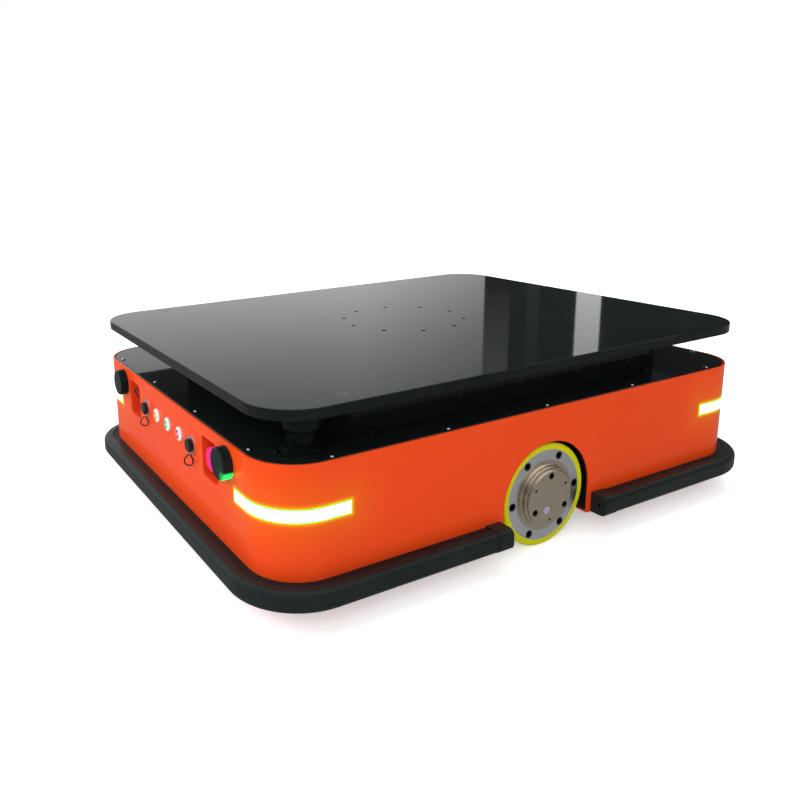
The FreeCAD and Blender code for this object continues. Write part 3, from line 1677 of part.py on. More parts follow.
def make_recess(label, x, bore):
    """A lined pocket behind an opening of the front face, with a mounting hole in its back."""
    body = new_body(label)
    liner = new_sketch(body, "XZ_Plane", f"{HALF_Y} - shell_wall")
    recess_outline(liner, x, "recess_wall")
    recess_outline(liner, x, "0")
    pad(body, liner, "recess_depth - shell_wall", towards=-1)
    back = new_sketch(body, "XZ_Plane", f"{STOP_WALL} - recess_wall")
    recess_outline(back, x, "recess_wall")
    pad(body, back, "recess_wall")
    hole = new_sketch(body, "XZ_Plane", STOP_WALL)
    hole_x = x if label == "estop_recess" else "-service_socket_x"
    circle(hole, hole_x, RECESS_Z, f"({bore} + hole_room) / 2")
    pocket(body, hole, "recess_wall")


def panel_spun(body, corners):
    """Revolves an outline of depth and radius formulas round Y; depth is negative out of the panel."""
    spun(body, corners, "H_Axis", "YZ_Plane")


def make_stop_button():
    wall = f"-{STOP_WALL}"
    bore = "stop_stem_dia / 2 + button_room"
    collar = new_body("estop_collar")
    panel_spun(
        collar,
        [
            ("-stop_collar_rise", bore),
            ("-stop_collar_rise", "stop_collar_dia / 2"),
            ("0", "stop_collar_dia / 2"),
            ("0", "stop_barrel_dia / 2"),
            ("stop_barrel_length", "stop_barrel_dia / 2"),
            ("stop_barrel_length", bore),
        ],
    )
    place(collar, "recess_x", wall, RECESS_Z)

    face = "(stop_head_recess - recess_depth)"
    back = f"({face} + stop_head_thick)"
    bore_end = f"({back} - stop_head_thick / 2)"
    plunger = new_body("estop_plunger")
    panel_spun(
        plunger,
        [
            (f"{bore_end} + seat_room", "0"),
            (f"{bore_end} + seat_room", "stop_stem_dia / 2"),
            ("stop_barrel_length - 2 * stop_travel", "stop_stem_dia / 2"),
            ("stop_barrel_length - 2 * stop_travel", "0"),
        ],
    )
    place(plunger, "recess_x", wall, RECESS_Z)

    head = new_body("estop_head")
    rim = "stop_head_dia / 2"
    stem_bore = "stop_stem_dia / 2 + bearing_room"
    panel_spun(
        head,
        [
            (face, "0"),
            (face, rim),
            (f"{face} + stop_head_thick / 2", rim),
            (back, "stop_head_dia / 3"),
            (back, stem_bore),
            (bore_end, stem_bore),
            (bore_end, "0"),
        ],
    )
    soften(head, "Fillet", "stop_head_round", lambda edge: at_depth(edge, face))
    place(head, "recess_x", wall, RECESS_Z)


def make_push_buttons():
    bezel = master("button_bezel")
    bore = "button_dia / 2 + button_room"
    rim, barrel, nut = "bezel_dia / 2", "bezel_barrel_dia / 2", "bezel_nut_dia / 2"
    nut_end = "shell_wall + bezel_nut_thick"
    panel_spun(
        bezel,
        [
            ("-bezel_rise", bore),
            ("-bezel_rise", f"{rim} - button_edge"),
            ("button_edge - bezel_rise", rim),
            ("0", rim),
            ("0", barrel),
            ("shell_wall", barrel),
            ("shell_wall", nut),
            (nut_end, nut),
            (nut_end, barrel),
            ("bezel_barrel_length", barrel),
            ("bezel_barrel_length", bore),
        ],
    )
    panel = f"-{HALF_Y}"
    names = (("left_button", "-button_pitch"), ("middle_button", "0"))
    names += (("right_button", "button_pitch"),)
    group("button_bezels", [(bezel, x, panel, BUTTON_Z, 0) for _, x in names])
    for label, x in names:
        button = new_body(label)
        edge, dish = "button_dia / 2", "button_dish_dia / 2"
        panel_spun(
            button,
            [
                ("button_dish_depth - button_rise", "0"),
                ("button_dish_depth - button_rise", dish),
                ("-button_rise", f"{dish} + button_dish_depth"),
                ("-button_rise", f"{edge} - button_edge"),
                ("button_edge - button_rise", edge),
                ("button_length - button_rise", edge),
                ("button_length - button_rise", "0"),
            ],
        )
        place(button, x, panel, BUTTON_Z)


SOCKETS = (
    ("left", "-socket_x", f"-{HALF_Y}", SOCKET_Z),
    ("right", "socket_x", f"-{HALF_Y}", SOCKET_Z),
    ("service", "-service_socket_x", f"-{STOP_WALL}", RECESS_Z),
)


def make_sockets():
    socket = master("cable_socket")
    flange, neck, barrel = (f"socket_{part}_dia / 2" for part in ("flange", "neck", "barrel"))
    panel_spun(
        socket,
        [
            ("-socket_neck_rise", "0"),
            ("-socket_neck_rise", neck),
            ("-socket_flange_thick", neck),
            ("-socket_flange_thick", flange),
            ("0", flange),
            ("0", barrel),
            ("socket_barrel_length", barrel),
            ("socket_barrel_length", "0"),
        ],
    )
    lug = new_sketch(socket, "XZ_Plane", "socket_flange_thick - 0.5")
    rectangle(
        lug, "-lug_width / 2", "lug_width / 2", "-(lug_drop + lug_height)", "-lug_drop"
    )
    pad(socket, lug, "lug_reach + 0.5")
    group("cable_sockets", [(socket, x, y, z, 0) for _, x, y, z in SOCKETS])
    for name, x, y, z in SOCKETS:
        cap = new_body(f"{name}_dust_cap")
        bore = "socket_neck_dia / 2 + seat_room"
        face = "-(cap_start + cap_thick)"
        inside = "-(socket_neck_rise + seat_room)"
        panel_spun(
            cap,
            [
                ("-cap_start", bore),
                ("-cap_start", "cap_dia / 2"),
                (f"{face} + cap_edge", "cap_dia / 2"),
                (face, "cap_dia / 2 - cap_edge"),
                (face, "0"),
                (inside, "0"),
                (inside, bore),
            ],
        )
        place(cap, x, y, z)


def make_antennas():
    antenna = master("puck_antenna")
    rim = "antenna_dia / 2"
    panel_spun(
        antenna,
        [
            ("-antenna_thick", "0"),
            ("-antenna_thick", f"{rim} - antenna_edge"),
            ("antenna_edge - antenna_thick", rim),
            ("0", rim),
            ("0", "antenna_stud_dia / 2"),
            ("antenna_stud_length", "antenna_stud_dia / 2"),
            ("antenna_stud_length", "0"),
        ],
    )
    places = [(antenna, f"{side}antenna_x", f"-{HALF_Y}", ANTENNA_Z, 0) for side in ("", "-")]
    group("puck_antennas", places)


# Each lanyard's route runs from one hole of its socket's lug to the other,
# as points from the socket's middle on the panel face: across, out of the panel, up.
HANGING_LOOP = (
    (-2.4, -15.0),
    (-3.4, -17.6),
    (-7.0, -19.8),
    (-8.2, -24.6),
    (-4.4, -29.0),
    (4.4, -29.0),
    (8.2, -24.6),
    (7.0, -19.8),
    (3.4, -17.6),
    (2.4, -15.0),
)
LOOP_REACH = 4.8
SERVICE_LOOP = (
    (-2.4, -4.8, -15.1),
    (-3.0, -6.4, -18.0),
    (-6.0, -11.0, -20.5),
    (-12.0, -17.5, -17.5),
    (-18.5, -25.5, -8.0),
    (-22.5, -32.5, 4.0),
    (-21.0, -36.5, 15.5),
    (-12.5, -37.0, 22.0),
    (-2.5, -35.0, 19.0),
    (4.0, -30.0, 9.5),
    (7.0, -23.0, -3.0),
    (6.5, -15.5, -14.0),
    (4.6, -8.5, -19.5),
    (2.4, -4.8, -17.4),
    (2.4, -4.8, -15.0),
)


def cord_path(points):
    """Straight runs joined by tangent arcs, each as large as its two runs allow."""
    edges = []
    start = points[0]
    radii = []
    for before, corner, after in zip(points, points[1:], points[2:]):
        back, on = before - corner, after - corner
        half_turn = (math.pi - back.getAngle(on)) / 2
        radius = 0.45 * min(back.Length, on.Length) / math.tan(half_turn)
        radii.append(radius)
        cut = radius * math.tan(half_turn)
        enter = corner + back.normalize() * cut
        leave = corner + on.normalize() * cut
        towards = (back + on).normalize()
        middle = corner + towards * (radius / math.cos(half_turn) - radius)
        edges.append(Part.LineSegment(start, enter).toShape())
        edges.append(Part.Arc(enter, middle, leave).toShape())
        start = leave
    edges.append(Part.LineSegment(start, points[-1]).toShape())
    return Part.Wire(edges), radii


def make_lanyard(label, points, socket):
    dia = number("lanyard_dia")
    route = [Vector(*point) for point in points]
    path, radii = cord_path(route)
    first = (route[1] - route[0]).normalize()
    section = Part.Wire([Part.Circle(route[0], first, dia / 2).toShape()])
    tube = path.makePipeShell([section], True, True)
    item = doc.addObject("Part::Feature", label)
    item.Label = label
    item.Shape = tube
    place(item, *socket)
    doc.recompute()
    finished.append(item)
    share = tube.Volume / (math.pi * dia**2 / 4 * path.Length)
    print(f"{label}: length {path.Length:.1f}, radii {min(radii):.1f} up, volume share {share:.3f}")


def make_lanyards():
    for name, *socket in SOCKETS:
        points = [(x, -LOOP_REACH, z) for x, z in HANGING_LOOP]
        make_lanyard(f"{name}_lanyard", SERVICE_LOOP if name == "service" else points, socket)


# ---------------------------------------------------------------- build and export


def build():
    make_body_shell()
    make_top_cover()
    make_cover_screws()
    make_base_plate()
    make_chassis_frame()
    make_wheel_bay_liners()
    make_drive_brackets()
    make_battery_pack()
    make_control_unit()
    make_floor_camera()
    make_lifting_gear()
    make_scanners()
    make_load_plate()
    make_lift_skirt()
    make_platform_screws()
    make_skirt_guides()
    for name, side, turn in (("right", "", 0), ("left", "-", 180)):
        make_drive_unit(f"{name}_drive_unit", turn, side)
        make_tyre(f"{name}_tyre", side, turn)
        make_hub_ring(f"{name}_hub_ring", side, turn)
        make_gear_flange(f"{name}_gear_flange", side, turn)
    make_wheel_screws()
    make_caster_plates()
    for name, x, y in (
        ("front_right", CASTER_X, f"-{CASTER_Y}"),
        ("front_left", f"-{CASTER_X}", f"-{CASTER_Y}"),
        ("rear_right", CASTER_X, CASTER_Y),
        ("rear_left", f"-{CASTER_X}", CASTER_Y),
    ):
        make_caster_fork(f"{name}_caster_fork", x, y)
        make_caster_wheel(f"{name}_caster_wheel", x, y)
    make_bumper()
    make_corner_lights()
    make_recess("estop_recess", "recess_x", "stop_barrel_dia")
    make_recess("service_recess", "-recess_x", "socket_barrel_dia")
    make_stop_button()
    make_push_buttons()
    make_sockets()
    make_antennas()
    make_lanyards()


def check():
    """Stops the build if any feature failed or any sub-part is empty or not sound."""
    for item in doc.Objects:
        if any(word in item.State for word in ("Invalid", "Error")):
            raise RuntimeError(f"{item.Label}: {item.State}")
    for item in finished:
        if item.Shape.isNull() or not item.Shape.isValid() or not item.Shape.Solids:
            raise RuntimeError(f"{item.Label}: empty or unsound shape")


def export():
    os.makedirs("parts", exist_ok=True)
    for item in finished:
        item.Shape.exportStep(f"parts/{item.Label}.step")
        print(f"{item.Label}: {len(item.Shape.Solids)} solids, {item.Shape.Volume / 1000:.1f} cm3")


build()
doc.recompute()
check()
export()
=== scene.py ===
"""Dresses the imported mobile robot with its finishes, lanyards, studio light and camera."""

from __future__ import annotations

import logging
import math
from collections.abc import Iterable, Sequence
from dataclasses import dataclass
from enum import Enum

import bpy
from mathutils import Matrix, Vector


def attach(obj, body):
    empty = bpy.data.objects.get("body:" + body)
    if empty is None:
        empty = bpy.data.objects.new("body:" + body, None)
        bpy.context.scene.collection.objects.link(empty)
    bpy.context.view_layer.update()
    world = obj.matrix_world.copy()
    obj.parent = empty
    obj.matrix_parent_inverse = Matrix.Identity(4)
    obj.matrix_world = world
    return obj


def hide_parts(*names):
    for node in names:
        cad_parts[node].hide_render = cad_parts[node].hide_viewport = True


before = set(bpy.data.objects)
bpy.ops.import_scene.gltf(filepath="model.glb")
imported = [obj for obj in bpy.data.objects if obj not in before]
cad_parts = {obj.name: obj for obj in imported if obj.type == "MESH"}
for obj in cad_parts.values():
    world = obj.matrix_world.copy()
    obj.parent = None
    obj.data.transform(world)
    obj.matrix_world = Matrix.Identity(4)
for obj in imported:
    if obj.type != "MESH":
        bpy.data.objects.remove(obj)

log = logging.getLogger("robot")

Colour = tuple[float, float, float]
Point = tuple[float, float, float]

MM = 0.001
AXLE_HEIGHT = 0.09

# Sizes of the patterns in the finishes, in metres.
PANEL_DRIFT = 0.35
GLOSS_DRIFT = 0.2
PEEL_DIMPLE = 0.004
DUST_SPECK = 0.0016
DUST_PATCH = 0.09
FINE_GRAIN = 0.0008
CAP_GRAIN = 0.0006
WEAR_SPECK = 0.0012
SCREW_SPECK = 0.002
LIGHT_RIPPLE = 0.004
SMALL_CLOUD = 0.02
METAL_CLOUD = 0.03
MOULD_CLOUD = 0.05
FLOOR_CLOUD = 0.8

DUST_GREY: Colour = (0.5, 0.5, 0.48)


class Surface:
    """A material under construction: a Principled shader and the nodes that feed it."""

    def __init__(self, name: str) -> None:
        """Makes an empty material with one Principled shader.

        Args:
            name: The material's name.
        """
        self.material = bpy.data.materials.new(name)
        self.material.use_nodes = True
        self.tree = self.material.node_tree
        self.tree.nodes.clear()
        self.shader = self.tree.nodes.new("ShaderNodeBsdfPrincipled")
        output = self.tree.nodes.new("ShaderNodeOutputMaterial")
        self.tree.links.new(self.shader.outputs[0], output.inputs["Surface"])
        self.place = self.tree.nodes.new("ShaderNodeTexCoord").outputs["Object"]

    def set(self, **values: float | Colour) -> None:
        """Sets plain values on the shader's own sockets.

        Args:
            values: Socket names with underscores for spaces, and their values.
        """
        for name, value in values.items():
            socket = self.shader.inputs[name.replace("_", " ")]
            socket.default_value = (*value, 1.0) if isinstance(value, tuple) else value

    def node(self, kind: str, **links: object) -> bpy.types.Node:
        """Adds a node and fills its inputs.

        Args:
            kind: The node's type without the ShaderNode prefix.
            links: Input names with underscores for spaces, each with a value or a socket.

        Returns:
            The new node.
        """
        made = self.tree.nodes.new(f"ShaderNode{kind}")
        for name, value in links.items():
            key = int(name[1:]) if name[1:].isdigit() else name.replace("_", " ")
            self.feed(made.inputs[key], value)
        return made

    def feed(self, socket: bpy.types.NodeSocket, value: object) -> None:
        """Links a socket to another one, or sets its value.

        Args:
            socket: The input to fill.
            value: The output that it is linked to, or its plain value.
        """
        if isinstance(value, bpy.types.NodeSocket):
            self.tree.links.new(value, socket)
        else:
            socket.default_value = value

    def math(self, operation: str, first: object, second: object = 0.0) -> bpy.types.NodeSocket:
        """Adds a Math node.

        Args:
            operation: What it does.
            first: Its first value or socket.
            second: Its second value or socket.

        Returns:
            Its result.
        """
        made = self.node("Math", i0=first, i1=second)
        made.operation = operation
        return made.outputs[0]

    def noise(
        self, size: float, detail: float = 2.0, stretch: Point = (1.0, 1.0, 1.0)
    ) -> bpy.types.NodeSocket:
        """Adds a noise pattern over the object.

        Args:
            size: The size of one blotch, in metres.
            detail: How many finer layers it has.
            stretch: How far each axis is drawn out, so that brushed lines can be made.

        Returns:
            The noise's factor, around 0.5.
        """
        scale = tuple(1.0 / part for part in stretch)
        mapping = self.node("Mapping", Vector=self.place, Scale=scale)
        made = self.node(
            "TexNoise", Vector=mapping.outputs[0], Scale=1.0 / size, Detail=detail
        )
        return made.outputs[0]

    def spread(
        self, factor: bpy.types.NodeSocket, low: float, high: float, start: float = 0.3
    ) -> bpy.types.NodeSocket:
        """Stretches a noise between two values.

        Args:
            factor: The noise.
            low: The value at the noise's low end.
            high: The value at its high end.
            start: The noise's low end; its high end lies as far on the other side of a half.

        Returns:
            The stretched value.
        """
        made = self.node("MapRange", Value=factor, From_Min=start, From_Max=1.0 - start)
        made.inputs["To Min"].default_value = low
        made.inputs["To Max"].default_value = high
        return made.outputs[0]

    def blend(
        self, factor: object, first: Colour | object, second: Colour | object
    ) -> bpy.types.NodeSocket:
        """Mixes two colours.

        Args:
            factor: 0 for the first colour, 1 for the second.
            first: A colour or a socket.
            second: A colour or a socket.

        Returns:
            The mixed colour.
        """
        made = self.tree.nodes.new("ShaderNodeMix")
        made.data_type = "RGBA"
        self.feed(made.inputs[0], factor)
        for index, value in ((6, first), (7, second)):
            self.feed(made.inputs[index], (*value, 1.0) if isinstance(value, tuple) else value)
        return made.outputs[2]

    def bump(self, height: bpy.types.NodeSocket, depth: float, strength: float = 1.0) -> None:
        """Adds relief to the shader's normal.

        Args:
            height: The relief, from 0 to 1.
            depth: What a full step is worth, in metres.
            strength: How much of the relief shows.
        """
        made = self.node("Bump", Height=height, Distance=depth, Strength=strength)
        before = self.shader.inputs["Normal"]
        if before.is_linked:
            self.tree.links.new(before.links[0].from_socket, made.inputs["Normal"])
        self.tree.links.new(made.outputs[0], before)

    def distance(self, across: object, up: object) -> bpy.types.NodeSocket:
        """Returns how long a step across and a step up are together."""
        squares = [self.math("MULTIPLY", part, part) for part in (across, up)]
        return self.math("SQRT", self.math("ADD", *squares))

    def apart(self) -> Sequence[bpy.types.NodeSocket]:
        """Returns the object's x, y and z as sockets."""
        return self.node("SeparateXYZ", Vector=self.place).outputs


def tinted(colour: Colour, share: float) -> Colour:
    """Makes a colour lighter or darker by a share."""
    return tuple(min(1.0, part * share) for part in colour)


@dataclass(frozen=True)
class Paint:
    """Sprayed or powder-coated metal: even gloss whose colour drifts a little across a panel.

    Attributes:
        name: The material's name.
        colour: The paint's colour.
        roughness: How dull the paint is.
        tone: How far the colour drifts across a panel.
        peel: The relief of the orange peel, in metres.
        dust: How much pale dust lies on the paint.
        sheen: How strongly it reflects where it is seen straight on.
    """

    name: str
    colour: Colour
    roughness: float = 0.3
    tone: float = 0.05
    peel: float = 0.000002
    dust: float = 0.0
    sheen: float = 0.5

    def surface(self) -> Surface:
        """Builds the paint.

        Returns:
            The paint as a surface that may still be changed.
        """
        made = Surface(self.name)
        made.set(Specular_IOR_Level=self.sheen)
        cloud = made.noise(PANEL_DRIFT, 1.0)
        colour = made.blend(
            made.spread(cloud, 0.0, 1.0),
            tinted(self.colour, 1.0 - self.tone),
            tinted(self.colour, 1.0 + self.tone),
        )
        specks = made.noise(DUST_SPECK, 2.0)
        settled = made.spread(made.noise(DUST_PATCH, 3.0), 0.0, self.dust)
        share = made.math("MULTIPLY", made.spread(specks, 0.0, 1.0, 0.42), settled)
        colour = made.blend(share, colour, DUST_GREY)
        made.feed(made.shader.inputs["Base Color"], colour)
        gloss = made.noise(GLOSS_DRIFT, 1.0)
        rough = made.spread(gloss, self.roughness * 0.92, self.roughness * 1.08)
        made.feed(made.shader.inputs["Roughness"], rough)
        made.bump(made.noise(PEEL_DIMPLE, 1.0), self.peel)
        return made

    def build(self) -> bpy.types.Material:
        """Returns the material."""
        return self.surface().material


@dataclass(frozen=True)
class ShellPaint(Paint):
    """The shell's paint, with the light that the corner strips spill over it.

    Attributes:
        spill: The colour of the spilt light.
        strength: How strong its bright rim is at the strip's edge.
        reach: How far from the strip the bright rim fades out, in metres.
        halo: How strong its wide halo is at the strip's edge.
        halo_reach: How far from the strip the halo fades out, in metres.
        strip: The height of the strip's middle, in metres.
        half: Half the strip's height, in metres.
        ends: Where the strips end on the front and on the sides, in metres.
    """

    spill: Colour = (0.35, 1.0, 0.0)
    strength: float = 0.42
    reach: float = 0.008
    halo: float = 0.05
    halo_reach: float = 0.075
    strip: float = 0.1695
    half: float = 0.0105
    ends: tuple[float, float] = (0.277, 0.385)

    def build(self) -> bpy.types.Material:
        """Builds the material.

        Returns:
            The material.
        """
        made = self.surface()
        x, y, z = made.apart()
        above = made.math("ABSOLUTE", made.math("SUBTRACT", z, self.strip))
        above = made.math("MAXIMUM", made.math("SUBTRACT", above, self.half), 0.0)
        past_x = made.math("SUBTRACT", self.ends[0], made.math("ABSOLUTE", x))
        past_y = made.math("SUBTRACT", self.ends[1], made.math("ABSOLUTE", y))
        past = made.math("MAXIMUM", made.math("MAXIMUM", past_x, past_y), 0.0)
        gap = made.distance(above, past)
        glow = []
        for level, reach in ((self.strength, self.reach), (self.halo, self.halo_reach)):
            fade = made.node("MapRange", Value=gap, From_Min=reach, From_Max=0.0)
            glow.append(made.math("MULTIPLY", made.math("POWER", fade.outputs[0], 2.0), level))
        made.set(Emission_Color=self.spill)
        made.feed(made.shader.inputs["Emission Strength"], made.math("ADD", *glow))
        return made.material


@dataclass(frozen=True)
class Metal:
    """Bare metal with fine lines along one axis.

    Attributes:
        name: The material's name.
        colour: The metal's colour.
        roughness: How dull it is.
        lines: How far the fine lines are drawn out along each axis.
        relief: The depth of the lines, in metres.
    """

    name: str
    colour: Colour
    roughness: float = 0.3
    lines: Point = (1.0, 1.0, 1.0)
    relief: float = 0.00001

    def build(self) -> bpy.types.Material:
        """Builds the material.

        Returns:
            The material.
        """
        made = Surface(self.name)
        made.set(Metallic=1.0)
        grain = made.noise(WEAR_SPECK, 3.0, self.lines)
        cloud = made.noise(METAL_CLOUD, 3.0)
        colour = made.blend(
            made.spread(cloud, 0.0, 1.0), tinted(self.colour, 0.88), tinted(self.colour, 1.06)
        )
        made.feed(made.shader.inputs["Base Color"], colour)
        rough = made.spread(grain, self.roughness * 0.75, self.roughness * 1.3)
        made.feed(made.shader.inputs["Roughness"], rough)
        made.bump(grain, self.relief)
        return made.material


@dataclass(frozen=True)
class Turned:
    """Metal or rubber turned on a lathe: fine rings round the wheels' axle.

    Attributes:
        name: The material's name.
        colour: The surface's colour.
        metallic: 1 for metal, 0 for anything else.
        roughness: How dull it is.
        pitch: The distance from ring to ring, in metres.
        relief: The depth of the rings, in metres.
        grip: How far the rings draw its highlights out.
        sheen: How strongly it reflects where it is seen straight on, if it isn't metal.
        bands: How many tinted bands there are to a ring.
    """

    name: str
    colour: Colour
    metallic: float = 1.0
    roughness: float = 0.28
    pitch: float = 0.0006
    relief: float = 0.000008
    grip: float = 0.6
    sheen: float = 0.5
    bands: float = 0.12

    def build(self) -> bpy.types.Material:
        """Builds the material.

        Returns:
            The material.
        """
        made = Surface(self.name)
        made.set(Metallic=self.metallic, Specular_IOR_Level=self.sheen)
        if self.metallic:
            made.set(Anisotropic=self.grip)
            tangent = made.node("Tangent")
            tangent.direction_type = "RADIAL"
            tangent.axis = "X"
            made.feed(made.shader.inputs["Tangent"], tangent.outputs[0])
        x, y, z = made.apart()
        z = made.math("SUBTRACT", z, AXLE_HEIGHT)
        rings = made.node("CombineXYZ", X=made.distance(y, z), Y=x).outputs[0]
        groove = made.node("TexNoise", Vector=rings, Scale=1.0 / self.pitch, Detail=1.0)
        bands = made.node("TexNoise", Vector=rings, Scale=self.bands / self.pitch, Detail=2.0)
        colour = made.blend(
            made.spread(bands.outputs[0], 0.0, 1.0),
            tinted(self.colour, 0.95),
            tinted(self.colour, 1.04),
        )
        made.feed(made.shader.inputs["Base Color"], colour)
        rough = made.spread(bands.outputs[0], self.roughness * 0.8, self.roughness * 1.25)
        made.feed(made.shader.inputs["Roughness"], rough)
        made.bump(groove.outputs[0], self.relief)
        return made.material


@dataclass(frozen=True)
class Moulded:
    """Moulded plastic or rubber with a fine grain and a little dust.

    Attributes:
        name: The material's name.
        colour: The surface's colour.
        roughness: How dull it is.
        grain: The size of the grain, in metres.
        relief: The depth of the grain, in metres.
        coat: How much gloss lies over it.
        glow: How strongly it shines in its own colour.
        sheen: How strongly it reflects where it is seen straight on.
    """

    name: str
    colour: Colour
    roughness: float = 0.5
    grain: float = 0.0008
    relief: float = 0.00002
    coat: float = 0.0
    glow: float = 0.0
    sheen: float = 0.5

    def build(self) -> bpy.types.Material:
        """Builds the material.

        Returns:
            The material.
        """
        made = Surface(self.name)
        made.set(Coat_Weight=self.coat, Coat_Roughness=0.08, Specular_IOR_Level=self.sheen)
        cloud = made.noise(MOULD_CLOUD, 4.0)
        colour = made.blend(
            made.spread(cloud, 0.0, 1.0), tinted(self.colour, 0.85), tinted(self.colour, 1.15)
        )
        made.feed(made.shader.inputs["Base Color"], colour)
        rough = made.spread(cloud, self.roughness * 0.85, self.roughness * 1.15)
        made.feed(made.shader.inputs["Roughness"], rough)
        if self.glow:
            made.set(Emission_Strength=self.glow)
            made.feed(made.shader.inputs["Emission Color"], colour)
        made.bump(made.noise(self.grain, 2.0), self.relief)
        return made.material


@dataclass(frozen=True)
class WheelScrews:
    """Black oxide screws, and the pale violet plug that stands among them on the boss.

    Attributes:
        name: The material's name.
        black: The screws' colour.
        violet: The plug's colour.
        slot: The colour of the dimple in its middle, painted shade of that hollow.
        plug: The plug's place from the axle, along the robot and downwards, in metres.
        reach: The plug's radius with a little room, in metres.
        dimple: The dimple's radius at its foot and at its rim, in metres.
        relief: The depth of the screws' grain, in metres.
    """

    name: str
    black: Colour = (0.018, 0.018, 0.02)
    violet: Colour = (0.4, 0.34, 0.5)
    slot: Colour = (0.12, 0.1, 0.22)
    plug: tuple[float, float] = (0.008, 0.02)
    reach: float = 0.008
    dimple: tuple[float, float] = (0.0012, 0.0022)
    relief: float = 0.000006

    def build(self) -> bpy.types.Material:
        """Builds the material.

        Returns:
            The material.
        """
        made = Surface(self.name)
        _, y, z = made.apart()
        across = made.math("SUBTRACT", made.math("ABSOLUTE", y), self.plug[0])
        up = made.math("SUBTRACT", z, AXLE_HEIGHT - self.plug[1])
        radius = made.distance(across, up)
        on_plug = made.math("LESS_THAN", radius, self.reach)
        wear = made.spread(made.noise(WEAR_SPECK, 3.0), 0.0, 0.25, 0.4)
        black = made.blend(wear, self.black, tinted(self.black, 3.0))
        # The plug darkens towards the slot colour in its middle: painted shade of the dimple there.
        foot, rim = self.dimple
        dimple = made.node("MapRange", Value=radius, From_Min=rim, From_Max=foot)
        violet = made.blend(dimple.outputs[0], self.violet, self.slot)
        colour = made.blend(on_plug, black, violet)
        made.feed(made.shader.inputs["Base Color"], colour)
        made.feed(made.shader.inputs["Metallic"], made.math("SUBTRACT", 1.0, on_plug))
        made.set(Roughness=0.32)
        made.bump(made.noise(FINE_GRAIN, 2.0), self.relief)
        return made.material


@dataclass(frozen=True)
class LitButton:
    """A push-button's cap: a ring in its own colour, lit white in the middle and at the rim.

    Attributes:
        name: The material's name.
        colour: The ring's colour.
        middle: The cap's place across the panel and its height, in metres.
        white: The colour of the middle and the rim.
        glow: How strongly it shines.
        heart: The radius inside which it is white, and where the ring's colour is full.
        rim: The radius up to which the ring's colour is full, and where it is white again.
        ripple: How unevenly the light ends, in metres.
        relief: The depth of the cap's grain, in metres.
    """

    name: str
    colour: Colour
    middle: tuple[float, float]
    white: Colour = (0.9, 0.9, 0.88)
    glow: float = 0.4
    heart: tuple[float, float] = (0.0016, 0.003)
    rim: tuple[float, float] = (0.0078, 0.0092)
    ripple: float = 0.0008
    relief: float = 0.000006

    def build(self) -> bpy.types.Material:
        """Builds the material.

        Returns:
            The material.
        """
        made = Surface(self.name)
        x, _, z = made.apart()
        across = made.math("SUBTRACT", x, self.middle[0])
        up = made.math("SUBTRACT", z, self.middle[1])
        radius = made.distance(across, up)
        uneven = made.spread(made.noise(LIGHT_RIPPLE), -self.ripple, self.ripple)
        radius = made.math("ADD", radius, uneven)
        start, end = self.rim
        rim = made.node("MapRange", Value=radius, From_Min=start, From_Max=end)
        end, start = self.heart
        heart = made.node("MapRange", Value=radius, From_Min=start, From_Max=end)
        white = made.math("MAXIMUM", rim.outputs[0], heart.outputs[0])
        colour = made.blend(white, self.colour, self.white)
        made.feed(made.shader.inputs["Base Color"], colour)
        made.feed(made.shader.inputs["Emission Color"], colour)
        made.set(Roughness=0.28, Specular_IOR_Level=0.2)
        shine = made.spread(white, self.glow * 0.3, self.glow, 0.0)
        made.feed(made.shader.inputs["Emission Strength"], shine)
        made.bump(made.noise(CAP_GRAIN, 2.0), self.relief)
        return made.material


@dataclass(frozen=True)
class RimScrews:
    """Zinc-plated screws; those that stand on the scanners' feet are black oxide.

    Attributes:
        name: The material's name.
        bright: The zinc's colour.
        black: The black screws' colour.
        foot: The height above which the scanners' screws lie, in metres.
        relief: The depth of the grain, in metres.
    """

    name: str
    bright: Colour = (0.6, 0.61, 0.63)
    black: Colour = (0.02, 0.022, 0.022)
    foot: float = 0.2478
    relief: float = 0.000004

    def build(self) -> bpy.types.Material:
        """Builds the material.

        Returns:
            The material.
        """
        made = Surface(self.name)
        made.set(Metallic=1.0)
        high = made.math("GREATER_THAN", made.apart()[2], self.foot)
        wear = made.spread(made.noise(WEAR_SPECK, 3.0), 0.85, 1.1, 0.35)
        bright = made.blend(wear, tinted(self.bright, 0.6), self.bright)
        made.feed(made.shader.inputs["Base Color"], made.blend(high, bright, self.black))
        made.feed(made.shader.inputs["Roughness"], made.spread(made.noise(SCREW_SPECK), 0.18, 0.3))
        made.bump(made.noise(FINE_GRAIN, 2.0), self.relief)
        return made.material


